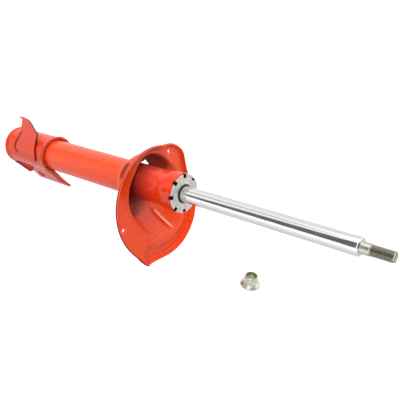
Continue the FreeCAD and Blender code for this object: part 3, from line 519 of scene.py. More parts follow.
MAT = {
    "red_enamel": enamel(),
    # darker enamel for cut edges and creases: a painted shade
    "red_edge_shade": enamel("red_edge_shade", (0.24, 0.07, 0.07)),
    "zinc_bare": zinc("zinc_bare", (0.80, 0.78, 0.72), (0.50, 0.48, 0.44), spots=0.9, rough=(0.30, 0.56), metal=0.9, grain=1100.0),
    "rod_chrome": chrome(),
    "steel": steel("steel", (0.50, 0.50, 0.50), (0.36, 0.36, 0.37)),
    "spring_steel": steel("spring_steel", (0.20, 0.21, 0.23), (0.11, 0.12, 0.14)),
    "rubber": rubber("rubber"),
    "sintered": steel("sintered", (0.24, 0.24, 0.24), (0.13, 0.13, 0.13), rough=(0.5, 0.75)),
    "bronze": steel("bronze", (0.48, 0.31, 0.12), (0.30, 0.18, 0.07), rough=(0.3, 0.5)),
    "ptfe": plastic("ptfe", (0.045, 0.035, 0.025), (0.08, 0.06, 0.04)),
    "nut_zinc": zinc("nut_zinc", (0.76, 0.77, 0.66), (0.56, 0.57, 0.46), spots=0.5, rough=(0.24, 0.40), metal=0.95),
    "nylon": plastic("nylon", (0.075, 0.088, 0.028), (0.11, 0.13, 0.045)),
    "urethane": plastic("urethane", (0.34, 0.25, 0.09), (0.42, 0.32, 0.13), rough=(0.5, 0.7)),
    # dark steel for the insides of the spanner notches: a painted shade
    "notch_shade": steel("notch_shade", (0.035, 0.028, 0.025), (0.012, 0.010, 0.010), rough=(0.45, 0.7)),
    "adjuster_blue": steel("adjuster_blue", (0.22, 0.27, 0.33), (0.12, 0.15, 0.20)),
}
for s in frame["record"]["subparts"]:
    ob = NODES[s["node"]]
    ob.data.materials.clear()
    ob.data.materials.append(MAT["adjuster_blue" if s["node"] == "adjuster_shaft" else s["material_slot"]])


def finish_piece(ob, body, slot, *replaced):
    if len(ob.data.materials) < 2:
        ob.data.materials.clear()
        ob.data.materials.append(MAT[slot])
    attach(ob, body)
    if replaced:
        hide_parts(*replaced)
    return ob


# ------------------------------------------------------------------ tube
NOTCH = [math.radians(2.2 + 45 * k) for k in range(8)]


def tube_warp(r, z, a):
    # the swelled end was pushed out over a mandrel: a faint swell and dip
    if z > 296 and r > 22:
        wave = 0.16 * math.exp(-((z - 321.0) / 3.0) ** 2) - 0.10 * math.exp(-((z - 313.0) / 4.0) ** 2)
        wave += 0.10 * math.exp(-((z - 333.5) / 2.5) ** 2) - 0.08 * math.exp(-((z - 339.0) / 3.0) ** 2)
        wave *= 1 + 0.5 * math.sin(3 * a + 0.6) + 0.3 * math.sin(7 * a)
        r += wave
    return r, z


def swell(z):
    return 22.5 + 2.1 * smooth01((z - 318.0) / 14.0)


prof = [(20.5, 4.0), (21.1, 3.0), (21.9, 3.0), (22.5, 3.6)]
prof += [(22.5, z) for z in np.linspace(20, 300, 15)]
prof += [(float(swell(z)), float(z)) for z in np.linspace(304, 346.2, 44)]
prof += [(24.58, 347.0), (24.45, 347.35), (24.1, 347.5), (22.9, 347.5), (22.7, 347.3), (22.7, 334)]
prof += [(22.7 - 2.2 * float(smooth01((334 - z) / 8.0)), z) for z in (333, 331, 329, 327, 326)]
prof += [(20.5, 310), (20.5, 150)]
tube = lathe("tube_skin", prof, seg=192, warp=tube_warp, sharp=40)
cutters = []
for a in NOTCH:
    cutters.append(box_at("c", (21.2, -2.5, 345.0), (27, 2.5, 352), turn=a))
for c in cutters:
    cut(tube, c, 40)
m = tube.modifiers.new("soft", "BEVEL")
m.width, m.segments, m.limit_method, m.angle_limit = 0.00025, 2, "ANGLE", math.radians(40)
bake(tube, 45)
finish_piece(tube, "strut_body", "red_enamel", "outer_tube")

# ring nut of the gland, bare zinc, notched through with the tube
g = fillet([(11.7, 338), (22.5, 338), (22.5, 347.6), (24.25, 347.6), (24.25, 348.75), (11.7, 348.75)], [0.3, 0.3, 0.1, 0.2, 0.45, 0.7], 4)
# shallow turned grooves on its face
g = g[:-5] + [(20.9, 348.75), (20.7, 348.62), (20.4, 348.62), (20.2, 348.75), (15.4, 348.75), (15.2, 348.66), (14.9, 348.66), (14.7, 348.75)] + g[-5:]
ring = lathe("gland_ring", g, seg=192, sharp=40)
for a in NOTCH:
    cut(ring, box_at("c", (19.9, -2.5, 345.0), (27, 2.5, 352), turn=a), 40)
m = ring.modifiers.new("soft", "BEVEL")
m.width, m.segments, m.limit_method, m.angle_limit = 0.00022, 2, "ANGLE", math.radians(40)
bake(ring, 45)
finish_piece(ring, "strut_body", "zinc_bare", "gland_nut")
# painted shade: the spanner notches are painted dark inside
ring.data.materials.append(MAT["notch_shade"])
tube.data.materials.append(MAT["notch_shade"])
for ob_ in (ring, tube):
    for p_ in ob_.data.polygons:
        c_ = (np.array(p_.center) * 1000.0 - ORG) @ ROT
        if c_[2] < 344.8 or c_[2] > 348.45:
            continue
        r_, a_ = math.hypot(c_[0], c_[1]), math.atan2(c_[1], c_[0])
        if 19.8 < r_ < 24.1 and min(abs((a_ - q + math.pi) % (2 * math.pi) - math.pi) for q in NOTCH) * r_ < 2.62:
            p_.material_index = 1

lip = lathe("wiper_lip", fillet([(11.12, 343), (11.6, 343), (11.65, 349.7), (10.15, 349.5), (10.14, 348.9), (11.12, 347.4)],
                                [0.1, 0.1, 0.5, 0.2, 0.15, 0.3], 5), seg=128)
finish_piece(lip, "strut_body", "rubber", "dust_lip")


# ------------------------------------------------------------------- rod
PITCH = 1.25


def thread_rows():
    rows = [(2.8, 227), (5.2, 227), (6, 227.8), (6, 258), (9.6, 258), (10, 258.6)]
    rows += [(10, z) for z in np.linspace(270, 560, 12)]
    rows += [(10, 575.2), (9.86, 575.9), (9.5, 576.5), (8.9, 576.9), (8.5, 577), (6.9, 577), (6.6, 577.2), (6.5, 577.6),
             (6.5, 586.0), (6.42, 586.4), (6.05, 586.9)]
    return rows


seg = 96 if FINE > 1 else 48
step = PITCH / (12 if FINE > 1 else 8)
zs = np.arange(587.0, 610.2, step)
rod_prof = thread_rows() + [(6.0, float(z)) for z in zs]
rod_prof += [(5.9, 610.1), (5.2, 610.9), (4.9, 611.0), (4.1, 611.0), (3.9, 610.8), (3.9, 600.2), (2.8, 600.0)]


def rod_warp(r, z, a):
    if 586.95 <= z <= 610.15 and r > 5.5:
        ph = (z / PITCH - a / (2 * math.pi)) % 1.0
        tri = abs(ph - 0.5) * 2.0
        depth = 0.70 * min(1.0, max(0.0, (tri - 0.10) / 0.78))
        fade = min(1.0, max(0.0, (z - 587.2) / 1.2))
        lead = min(1.0, max(0.0, (610.6 - z) / 1.5))
        r = min(r - depth * fade * lead, 6.0 - 0.9 * max(0.0, 1 - (610.6 - z) / 1.3))
    return r, z


rod = lathe("piston_rod_skin", rod_prof, seg=seg, warp=rod_warp, sharp=50)
cut(rod, rod_at("c", (0, -14, 262.5), (0, 14, 262.5), 1.5), 50)
finish_piece(rod, "rod", "rod_chrome", "piston_rod")


# ---------------------------------------------------------------- clevis
def skin(name, outer, inner, sharp=50, rim=()):
    """Closes two grids of the same size, an outer and an inner face, into one plate.
    rim names the cut edges that get a painted shade, a darker coat: "low" and "high" along the
    grid's columns, "ends" across them."""
    n, m = len(outer), len(outer[0])
    V = [p for row in outer for p in row] + [p for row in inner for p in row]
    o = lambda i, j: i * m + j
    q = lambda i, j: n * m + i * m + j
    F, dark = [], []
    for i in range(n - 1):
        for j in range(m - 1):
            F.append((o(i, j), o(i + 1, j), o(i + 1, j + 1), o(i, j + 1)))
            F.append((q(i, j), q(i, j + 1), q(i + 1, j + 1), q(i + 1, j)))
        for j in (0, m - 1):
            if ("low" if j == 0 else "high") in rim:
                dark.append(len(F))
            F.append((o(i, j), q(i, j), q(i + 1, j), o(i + 1, j)))
    for j in range(m - 1):
        for i in (0, n - 1):
            if "ends" in rim:
                dark.append(len(F))
            F.append((o(i, j), o(i, j + 1), q(i, j + 1), q(i, j)))
    ob = build(name, np.array(V), F, sharp=sharp)
    if dark and len(ob.data.polygons) == len(F):
        # the named edges get the darker enamel, a painted shade
        ob.data.materials.append(MAT["red_enamel"])
        ob.data.materials.append(MAT["red_edge_shade"])
        for k in dark:
            ob.data.polygons[k].material_index = 1
    return ob


def edge_low(x):
    return 14.0 * float(np.clip((x - 12.0) / 24.0, 0, 1))


def edge_high(x):
    return 95.0 - 3.2 * float(smooth01((x - 51.0) / 4.5)) ** 2


def smax(a, b, p=26.0):
    a, b = max(a, 1e-3), max(b, 1e-3)
    m = max(a, b)
    return m * ((a / m) ** p + (b / m) ** p) ** (1.0 / p)


def bend_out(x, z, y):
    """How far the sheet stands out of its flat place at its front and rear edges."""
    front = float(smooth01((z - 85.5) / 9.5)) ** 1.7
    d = z - edge_low(x)
    rear = float(smooth01((6.0 - d) / 6.0)) ** 1.5
    f = float(np.interp(x, [4, 12, 20, 40, 54.5], [0.0, 5.4, 5.3, 2.9, 0.7]))
    g = float(np.interp(x, [4, 10, 30, 34.6, 36.8], [0.0, 5.4, 5.2, 5.0, 0.0]))
    return front * f + rear * g


def clevis():
    """Plate wrapped round the tube, its two ears standing off towards the knuckle."""
    sides = []
    for rad, flat in ((26.3, 21.4), (22.65, 17.6)):
        grid = []
        st = [("a", q) for q in np.linspace(180, 76, 53)] + [("x", u) for u in np.linspace(0, 1, 15)[1:]]
        st += [("t", x) for x in np.linspace(16.0, 55.4, 41)[1:]]
        for kind, q in st:
            col = []
            for j in range(77):
                v = j / 76.0
                x = 0.0 if kind == "a" else (16.0 if kind == "x" else q)
                lo = edge_low(x) if kind == "t" else 0.0
                if kind == "x":
                    lo = edge_low(7.0 + 9.0 * q)
                hi = edge_high(x) if kind == "t" else 95.0
                z = lo + (hi - lo) * v
                lip = 1.75 * (float(smooth01((z - 87.5) / 7.5)) ** 1.5 + float(smooth01((7.5 - z) / 7.5)) ** 1.5)
                R = rad + lip
                if kind == "a":
                    c = math.radians(q)
                    x, y = R * math.cos(c), R * math.sin(c)
                    if x > -2:
                        y = smax(y, flat + bend_out(max(x, 0), z, y) * float(smooth01((x + 2) / 6)))
                else:
                    if kind == "x":
                        xs = R * math.cos(math.radians(76))
                        x = xs + (16.0 - xs) * q
                    circle = math.sqrt(max(R * R - x * x, 0.01))
                    y = smax(circle, flat + bend_out(x, z, 0))
                col.append((x, y, z))
            grid.append(col)
        # the other side is its mirror image
        mirror = [[(x, -y, z) for x, y, z in col] for col in grid[1:]]
        sides.append(grid[::-1] + mirror)
    ob = skin("clevis_plate", sides[0], sides[1], rim=("low",))
    for z in (33.0, 82.0):
        cut(ob, rod_at("c", (41, -40, z), (41, 40, z), 7.1, 64), 50)
    m = ob.modifiers.new("soft", "BEVEL")
    m.width, m.segments, m.limit_method, m.angle_limit = 0.0007, 3, "ANGLE", math.radians(50)
    bake(ob, 50)
    return ob


finish_piece(clevis(), "strut_body", "red_enamel", "clevis_bracket")


# ---------------------------------------------------------- hose bracket
# distance along the plate, lower edge, upper edge: measured from where it leaves the tube
HOSE = [(-22.6, 66.2, 68.5), (-21.1, 66.2, 72.6), (-19.6, 66.2, 74.8), (-18.1, 66.4, 76.5), (-16.6, 66.5, 77.9),
        (-13.2, 66.2, 78.8), (-12.6, 62.0, 78.8), (-12.0, 40.0, 78.8), (-10.5, 32.0, 78.8), (-9, 29.5, 78.7), (-7.5, 28.0, 78.5),
        (-6, 26.6, 78.3), (-4.5, 25.9, 78.0), (-3, 25.4, 77.6), (-1.5, 25.1, 77.2), (0, 25.0, 76.8), (2, 25.2, 76.2), (4, 25.8, 75.8),
        (6, 26.8, 75.6), (8, 27.8, 75.5), (10, 28.9, 75.6), (14, 31.3, 76.0), (18, 33.7, 76.8), (21, 35.2, 77.3),
        (23, 35.8, 77.0), (24.5, 36.1, 75.8), (28, 36.6, 71.2), (32, 37.2, 65.6), (36, 37.9, 60.2), (38, 38.1, 57.2),
        (39.2, 36.9, 55.0), (40.2, 34.4, 52.3), (41.2, 31.6, 49.0), (42.0, 30.6, 44.5), (42.5, 30.9, 38.0), (42.7, 31.5, 34.5)]


def hose():
    t, R, leave = 2.4, 26.36, math.radians(207)
    h = np.array(HOSE)
    q = np.concatenate([np.linspace(-22.6, -13.2, 12), np.linspace(-13.1, -12.0, 8), np.linspace(-11.5, 36, 70), np.linspace(36.4, 42.7, 22)])
    outer, inner = [], []
    px, py = (R + t) * math.cos(leave), (R + t) * math.sin(leave)
    d0 = math.atan2(-math.cos(leave), math.sin(leave))
    d1 = math.atan2(0.80, -0.60)
    last = 0.0
    for s in q:
        lo, hi = np.interp(s, h[:, 0], h[:, 1]), np.interp(s, h[:, 0], h[:, 2])
        if s <= 0:
            a = leave - s / (R + t)
            nx, ny = math.cos(a), math.sin(a)
            x, y = (R + t) * nx, (R + t) * ny
        else:
            while last < s - 1e-9:
                st = min(0.25, s - last)
                d = d0 + (d1 - d0) * float(smooth01((last - 4) / 12.0))
                px, py = px + st * math.cos(d), py + st * math.sin(d)
                last += st
            d = d0 + (d1 - d0) * float(smooth01((s - 4) / 12.0))
            x, y = px, py
            nx, ny = -math.sin(d), math.cos(d)
            if nx * math.cos(leave) + ny * math.sin(leave) < 0:
                nx, ny = -nx, -ny
        co, ci = [], []
        for j in range(41):
            z = lo + (hi - lo) * j / 40.0
            # the rim of the plate's rear edge is turned up a little, and the tip is curled
            lift = 1.3 * float(smooth01((4.5 - (z - lo)) / 4.5)) ** 1.5 * (1 if s < 20 else 0)
            lift *= float(smooth01((s + 13.5) / 3.0))
            co.append((x + nx * lift, y + ny * lift, z))
            ci.append((x + nx * (lift - t), y + ny * (lift - t), z))
        outer.append(co)
        inner.append(ci)
    ob = skin("hose_plate", outer, inner, rim=("low", "high"))
    # painted shade: a dark line is painted in the crease inside the turned-up rear rim
    per = 2 * 40 + 2
    for i, s in enumerate(q[:-1]):
        lo, hi = np.interp(s, h[:, 0], h[:, 1]), np.interp(s, h[:, 0], h[:, 2])
        if not -11.5 < s < 20.5:
            continue
        for j in range(40):
            if 2.0 < (hi - lo) * (j + 0.5) / 40.0 < 5.6:
                ob.data.polygons[i * per + 2 * j].material_index = 1
    m = ob.modifiers.new("soft", "BEVEL")
    m.width, m.segments, m.limit_method, m.angle_limit = 0.00045, 2, "ANGLE", math.radians(50)
    bake(ob, 50)
    return ob


finish_piece(hose(), "strut_body", "red_enamel", "hose_bracket")

# ------------------------------------------------------------ spring seat
SC = np.array([37.3, -6.8])
OUTLINE = [(-90, 76), (-80, 77.4), (-76.2, 78.3), (-70, 80.9), (-66, 82.8), (-62.6, 84.6), (-60.9, 84.6), (-58.6, 82.8),
           (-55.4, 80.8), (-48.5, 78.6), (-39.8, 77.8), (-30.7, 78.3), (-21.1, 78.8), (-10.5, 79.1), (0.3, 78.6),
           (11.4, 77.8), (21.4, 76.7), (26.5, 75.6), (30.5, 74.6), (36, 70.9), (44, 66.8), (54, 64.0), (62.9, 63.2),
           (72, 64.0), (80, 66.1), (88, 70.0), (94, 74.6), (98, 78.0), (102, 79.5), (108.5, 80.1), (114.8, 80.0), (120, 78.9),
           (128, 76.0), (140, 76), (160, 76), (180, 76), (200, 76), (220, 76), (240, 76), (255, 76), (270, 76)]
CREST = [(-172.7, 62.6, -1.92), (-164.3, 61.6, -1.75), (-156.1, 59.9, -1.58), (-147.5, 57.9, -1.41), (-138.3, 55.7, -1.23),
         (-123.7, 51.3, -0.93), (-111.3, 48.9, -0.71), (-94.3, 46.8, -0.40), (-78.6, 46.6, -0.12), (-66.0, 47.6, 0.0),
         (-63.2, 48.6, -0.1), (-60.6, 53.6, -2.6), (-56.2, 54.7, -2.83), (-46.1, 55.3, -2.88), (-35.9, 55.8, -2.99), (-25.2, 56.1, -3.15),
         (-14.0, 57.2, -3.36), (-3.6, 57.6, -3.57), (6.1, 57.2, -3.60), (16.3, 55.8, -3.60), (30, 52.5, -3.5), (50, 49.5, -3.4),
         (70, 48.2, -3.3), (91.2, 51.1, -3.21), (102.2, 54.8, -3.24), (112.6, 57.6, -3.28), (123.3, 61.9, -3.24),
         (132.3, 66.0, -3.08), (140.1, 68.8, -2.93), (147.5, 70.8, -2.80), (155.1, 70.9, -2.65), (161.9, 70.1, -2.50),
         (170, 66.6, -2.3), (178, 63.8, -2.05)]
# how far the crest's outer slope runs before it meets the floor of the track
SLOPE = [(-90, 1.0), (-66, 1.2), (-61, 5.0), (-56, 9.2), (-30, 9.6), (0, 9.4), (15, 8.8), (28, 6.0), (45, 3.6), (70, 2.8), (90, 2.6),
         (120, 2.6), (150, 1.8), (180, 1.6), (210, 1.3)]


# width of the crest's flat top
FLAT = [(-90, 0.8), (-68, 0.8), (-58, 2.5), (-48, 5.2), (0, 5.4), (30, 4.2), (60, 2.2), (90, 1.4), (120, 1.2), (180, 0.8), (215, 0.8)]


def circ(table, col, soft=9):
    a = np.array([r[0] for r in table], float)
    v = np.array([r[col] for r in table], float)
    fa = np.arange(-180, 181, 0.5)
    raw = np.interp(fa, np.concatenate([a - 360, a, a + 360]), np.concatenate([v, v, v]))
    k = np.hanning(soft)
    k /= k.sum()
    ext = np.concatenate([raw[-41:-1], raw, raw[1:41]])
    sm = np.convolve(ext, k, "same")[40:-40]
    return lambda th: float(np.interp((th + 180) % 360 - 180, fa, sm))


out_r = circ(OUTLINE, 1, 5)
flat_r = circ(FLAT, 1)
crest_r = circ(CREST, 1)
crest_h = circ(CREST, 2, 7)
slope_r = circ(SLOPE, 1)
HIGH = 0.5


def stop_at(rho):
    """Angle of the coil stop's curved edge at that radius."""
    return float(np.interp(rho, [47, 52.2, 56.1, 61.0, 64.8, 68.3, 72.7, 76.1, 78.6, 80.6, 82.6, 86],
                           [-61.0, -62.2, -67.9, -72.7, -74.2, -74.2, -73.1, -70.4, -66.6, -63.6, -61.8, -61.0]))


def track(q):
    """Depth of the track's floor below the lip, going round from the stop."""
    d = float(np.interp(q, [0, 20, 40, 60, 86, 150, 182, 215, 250, 300, 345, 360],
                        [7.4, 7.5, 7.7, 7.9, 7.4, 5.8, 4.9, 4.0, 3.0, 1.8, 0.6, HIGH]))
    return HIGH + (d - HIGH) * float(smooth01(q / 2.2))


def seat_z(x, y):
    return 290 + 0.0549 * (x - SC[0]) - 0.0528 * (y - SC[1])


def emboss(x, y):
    """Pressed rib that runs out along the bowl's floor, and the flat ledge round the tube's root."""
    along = float(smooth01((x - 51.0) / 2.4) * (1 - smooth01((x - 85.6) / 2.0)))
    d = y + 12.7 + 0.133 * (x - 52.0)
    side = (1.9 - abs(d)) / 1.5 if d < 0 else (1.9 - abs(d)) / 1.9
    rib = 2.3 * float(smooth01(side + 1.0)) * along
    # a shallow valley beside the rib, on its lower side
    v = 0.9 * math.exp(-((d + 4.6) / 1.7) ** 2) * float(smooth01((x - 40.0) / 6.0) * (1 - smooth01((x - 84.0) / 4.0)))
    r, a = math.hypot(x, y), math.degrees(math.atan2(y, x))
    ledge = 2.1 * float(smooth01((39.5 - r) / 5.0)) * float(smooth01((a + 72) / 9.0) * (1 - smooth01((a + 20) / 7.0)))
    return rib - v + ledge


def seat():
    # stations, packed closely at the coil stop and at the bowl's rib
    taus = []
    a = -62.0
    while a < 298.0 - 1e-6:
        taus.append(a)
        d = min(a + 62.0, 298.0 - a)
        a += 0.28 if d < 3.2 else (0.6 if d < 10 else (0.4 * (3 - FINE) if -22 < a < -4 else 1.5 / FINE))
    V, cols = [], []
    for tau in taus:
        q = (tau + 62.0) % 360.0
        near = math.exp(-((min(q, 360 - q)) / 14.0) ** 2)

        def at(rho):
            return tau + (stop_at(rho) + 62.0) * near

        ro, rc = out_r(tau), crest_r(tau)
        for _ in range(40):
            ro += 0.35 * (out_r(at(ro)) - ro)
            rc += 0.35 * (crest_r(at(rc)) - rc)
        D, hc, run_, flat = track(q), crest_h(at(rc)), slope_r(tau), flat_r(at(rc))
        if q > 350:                 # level with the lip, on the stop's high side
            hc = max(hc, -0.15)
        E = max(0.0, D + hc)
        s = min(1.0, D / 6.5)
        # outer edge, lip's crown, foot of the wall, foot of the crest, crest's two edges, start of the bowl
        pts = [(ro + 0.55 * s, -0.5 - 2.6 * s), (ro - 0.3 - 1.5 * s, 0.0), (ro - 0.7 - 2.7 * s, -D),
               (rc + 0.15 + min(run_, 1.0 + 2.6 * E), -0.88 * D), (rc + 0.15, hc), (rc - flat, hc - 0.06 * flat), (rc - flat - 2.0, hc - 0.06 * flat - 1.9)]
        radii = [0, 0.25 + 0.75 * s, min(1.2, 0.42 * D + 0.12), min(1.6, 0.6 * E + 0.3), min(0.9, 0.3 * E + 0.3), 1.6, 0]
        N_ = 6
        full = [pts[0]]
        for k in range(1, len(pts) - 1):
            f_ = fillet(pts[k - 1:k + 2], [0, radii[k], 0], N_, closed=False)[1:-1]
            full += f_ if len(f_) == N_ + 1 else [pts[k]] * (N_ + 1)
        full.append(pts[-1])

        def between(p, r, n):
            return [(p[0] + (r[0] - p[0]) * k / n, p[1] + (r[1] - p[1]) * k / n) for k in range(1, n)]

        g_ = [[full[0]]] + [full[1 + k * (N_ + 1):1 + (k + 1) * (N_ + 1)] for k in range(5)] + [[full[-1]]]
        gaps = [3, 4, 6, 4, 4, 1]
        run = []
        for k, grp in enumerate(g_):
            run += grp
            if k < len(gaps):
                run += between(grp[-1], g_[k + 1][0], gaps[k])
        col, last = [], None
        for rho, h in run:
            th = math.radians(at(rho))
            x, y = SC[0] + rho * math.cos(th), SC[1] + rho * math.sin(th)
            last = (x, y, seat_z(x, y) + h)
            col.append(len(V))
            V.append(last)
        # bowl: from the crest down to the collar, in planes through the tube's axis
        ang = math.atan2(last[1], last[0])
        R1, z1 = math.hypot(last[0], last[1]), last[2]
        R0, z0 = 26.6, 262.6
        far = float(smooth01((R1 - 34.0) / 30.0))
        deg = math.degrees(ang) % 360
        cup = float(smooth01((deg - 48) / 30.0) * (1 - smooth01((deg - 150) / 30.0)))
        n = 40
        for k in range(1, n + 1):
            u = 1 - k / n
            rr = R0 + (R1 - R0) * u
            g = (1 - 0.5 * far) * u + 0.5 * far * u ** 3.2
            g += cup * (0.25 * u + 0.75 * u ** 5 - g)
            x, y = rr * math.cos(ang), rr * math.sin(ang)
            zz = z0 + (z1 - z0) * g + emboss(x, y) * float(smooth01(u / 0.12) * smooth01((1 - u) / 0.05))
            col.append(len(V))
            V.append((x, y, zz))
        for rr, zz in ((25.2, 261.6), (24.1, 260.6), (23.3, 259.2), (22.95, 257.8), (22.85, 256.7)):
            col.append(len(V))
            V.append((rr * math.cos(ang), rr * math.sin(ang), zz))
        cols.append(col)
    m = len(cols[0])
    F = []
    for i in range(len(cols)):
        A, B = cols[i], cols[(i + 1) % len(cols)]
        for j in range(m - 1):
            F.append((A[j], A[j + 1], B[j + 1], B[j]))
    ob = build("seat_pressing", np.array(V), F, sharp=60, flip=False)
    # which way is up: towards the rod
    up = ROT @ np.array([0, 0, 1.0])
    nz = sum(p.normal.dot(Vector(up)) * p.area for p in ob.data.polygons)
    if nz < 0:
        ob.data.flip_normals()
    md = ob.modifiers.new("thick", "SOLIDIFY")
    md.thickness, md.offset = 0.0026, -1.0
    bake(ob, 50)
    clean(ob)
    cut(ob, box_at("c", (-5.4, 20.0, 250), (6.2, 29.4, 272)), 50)
    for x, y in ((6.5, 55.0), (6.2, -69.1)):
        cut(ob, rod_at("c", (x, y, 262), (x, y, 312), 2.5, 32), 50)
    md = ob.modifiers.new("soft", "BEVEL")
    md.width, md.segments, md.limit_method, md.angle_limit = 0.0004, 2, "ANGLE", math.radians(50)
    bake(ob, 50)
    return ob


finish_piece(seat(), "strut_body", "red_enamel", "spring_seat")


# ---------------------------------------------------------------- welds
def bead(name, r, z, width, height, spans, node, seed):
    """Rippled fillet weld round the tube."""
    V, F = [], []
    nseg, m = 360, 9
    idx = []
    keep = []
    for k in range(nseg):
        a = 2 * math.pi * k / nseg
        deg = math.degrees(a)
        s = noise.noise(Vector((math.cos(a) * 3 + seed, math.sin(a) * 3, 0)))
        rip = 0.5 + 0.5 * math.sin(a * r / 0.9)
        hh = height * (0.92 + 0.10 * rip + 0.12 * s)
        row = []
        for j in range(m):
            q = math.pi * j / (m - 1)
            row.append(len(V))
            V.append(((r + hh * math.sin(q) ** 0.8) * math.cos(a), (r + hh * math.sin(q) ** 0.8) * math.sin(a),
                      z + width * 0.5 * math.cos(q)))
        idx.append(row)
        keep.append(not any(lo < deg < hi for lo, hi in spans))
    for k in range(nseg):
        k2 = (k + 1) % nseg
        if not (keep[k] and keep[k2]):
            continue
        for j in range(m - 1):
            F.append((idx[k][j], idx[k2][j], idx[k2][j + 1], idx[k][j + 1]))
        F.append((idx[k][m - 1], idx[k2][m - 1], idx[k2][0], idx[k][0]))
    if spans:
        for k in range(nseg):
            if keep[k] and not keep[(k + 1) % nseg]:
                F.append(tuple(idx[k]))
            if keep[k] and not keep[k - 1]:
                F.append(tuple(idx[k][::-1]))
    return build(name, np.array(V), F, sharp=50)


w1 = bead("bracket_bead", 22.52, 91.4, 5.0, 1.3, [(-1, 34), (326, 361)], None, 1.0)
finish_piece(w1, "strut_body", "red_enamel", "bracket_weld")
w2 = bead("seat_bead", 22.52, 255.2, 3.2, 2.2, [], None, 4.0)
finish_piece(w2, "strut_body", "red_enamel", "seat_weld")


# ------------------------------------------------------------- loose nut
def nut():
    prof = [(5.9, 0.0), (12.6, 0.0), (13.0, 0.15), (13.3, 0.6), (13.3, 1.7), (13.1, 2.2)]
    zs = list(np.linspace(2.4, 12.2, 44))
    levels = prof + [(None, float(z)) for z in zs]
    top = [(8.55, 12.35), (8.62, 12.6), (8.62, 14.3), (8.5, 14.8), (8.2, 15.2), (7.8, 15.4), (7.45, 15.25), (7.35, 14.9), (7.35, 14.62),
           (7.9, 14.6), (7.9, 12.0), (5.6, 12.0), (5.3, 11.6), (5.3, 0.6)]
    seg = 288
    V, rows = [], []
    for r, z in levels + top:
        row = []
        for k in range(seg):
            a = 2 * math.pi * k / seg
            if r is None:
                flange = float(np.interp(z, [2.2, 3.2, 4.6, 5.6, 7.5], [13.1, 12.2, 10.6, 9.2, 8.0]))
                w = (a + math.pi / 6) % (math.pi / 3) - math.pi / 6
                # six flats, with slightly rounded corners
                hexr = min(8.5 / math.cos(w), 9.66)
                cone = 8.75 + (12.4 - z) * 0.62
                rr = min(hexr, cone)
                rr = (rr ** 14 + flange ** 14) ** (1 / 14.0) if abs(rr - flange) < 1.2 else max(rr, flange)
                rr = min(rr, 13.3)
            else:
                rr = r
            row.append(len(V))
            V.append((rr * math.cos(a), rr * math.sin(a), z))
        rows.append(row)
    F = []
    n = len(rows)
    for i in range(n):
        A, B = rows[i], rows[(i + 1) % n]
        for k in range(seg):
            F.append((A[k], A[(k + 1) % seg], B[(k + 1) % seg], B[k]))
    return build("top_nut", np.array(V), F, place=WN, sharp=32)


finish_piece(nut(), "nut", "nut_zinc", "flange_nut")
ins = lathe("nut_ring", fillet([(5.5, 12.05), (7.88, 12.05), (7.88, 14.58), (6.1, 14.58), (5.5, 13.9)], [0.1, 0.1, 0.1, 0.5, 0.4], 4),
            seg=128, place=WN)
finish_piece(ins, "nut", "nylon", "nut_insert")

# ---------------------------------------------------------- floor, lights
BOX_LIGHT, DARK, KEY = 2.7, 0.26, 3.3
me = bpy.data.meshes.new("floor")
me.from_pydata([(-30, -30, 0), (30, -30, 0), (30, 30, 0), (-30, 30, 0)], [], [(0, 1, 2, 3)])
floor = bpy.data.objects.new("floor", me)
floor.location.z = -0.0002
bpy.context.scene.collection.objects.link(floor)
fm = bpy.data.materials.new("floor")
fm.use_nodes = True
fb = next(n for n in fm.node_tree.nodes if n.type == "BSDF_PRINCIPLED")
fb.inputs["Base Color"].default_value = (0.12, 0.12, 0.12, 1)
fb.inputs["Roughness"].default_value = 0.9
fb.inputs["Specular IOR Level"].default_value = 0.1
# a lit table, so that hardly any shadow is left on it
fb.inputs["Emission Color"].default_value = (1, 1, 1, 1)
# it gives less light to what stands on it than the camera sees of it
lp = fm.node_tree.nodes.new("ShaderNodeLightPath")
geo = fm.node_tree.nodes.new("ShaderNodeNewGeometry")
sxyz = fm.node_tree.nodes.new("ShaderNodeSeparateXYZ")
fm.node_tree.links.new(geo.outputs["Position"], sxyz.inputs[0])
# in reflections the floor is painted darker towards the strut, a painted contact shadow
floor_reflection_shadow = fm.node_tree.nodes.new("ShaderNodeMapRange")
floor_reflection_shadow.interpolation_type = "SMOOTHSTEP"
fm.node_tree.links.new(sxyz.outputs["Y"], floor_reflection_shadow.inputs["Value"])
for k_, x_ in (("From Min", -0.47), ("From Max", 0.03), ("To Min", 1.36), ("To Max", 0.66)):
    floor_reflection_shadow.inputs[k_].default_value = x_


def pick(ray, otherwise, value):
    m = fm.node_tree.nodes.new("ShaderNodeMapRange")
    fm.node_tree.links.new(lp.outputs[ray], m.inputs["Value"])
    for sock, v in (("To Min", otherwise), ("To Max", value)):
        if isinstance(v, bpy.types.NodeSocket):
            fm.node_tree.links.new(v, m.inputs[sock])
        else:
            m.inputs[sock].default_value = v
    return m.outputs["Result"]


# glossy rays see the floor with its painted contact shadow
fm.node_tree.links.new(pick("Is Glossy Ray", pick("Is Diffuse Ray", 1.08, 0.42), floor_reflection_shadow.outputs["Result"]), fb.inputs["Emission Strength"])
me.materials.append(fm)

# the studio: a large soft box overhead, a white sweep behind the object, darkness
# low down on the camera's side, so that the polished parts have something to mirror
world = bpy.data.worlds.new("studio")
bpy.context.scene.world = world
world.use_nodes = True
wt = world.node_tree
bg = wt.nodes["Background"]
tc = wt.nodes.new("ShaderNodeTexCoord")


def wmath(op, a, b=0.0, c=0.0, clamp=False):
    m = wt.nodes.new("ShaderNodeMath")
    m.operation, m.use_clamp = op, clamp
    for k, v in enumerate((a, b, c)):
        if isinstance(v, bpy.types.NodeSocket):
            wt.links.new(v, m.inputs[k])
        else:
            m.inputs[k].default_value = v
    return m.outputs[0]


def wdot(v):
    m = wt.nodes.new("ShaderNodeVectorMath")
    m.operation = "DOT_PRODUCT"
    wt.links.new(tc.outputs["Generated"], m.inputs[0])
    m.inputs[1].default_value = v
    return m.outputs["Value"]


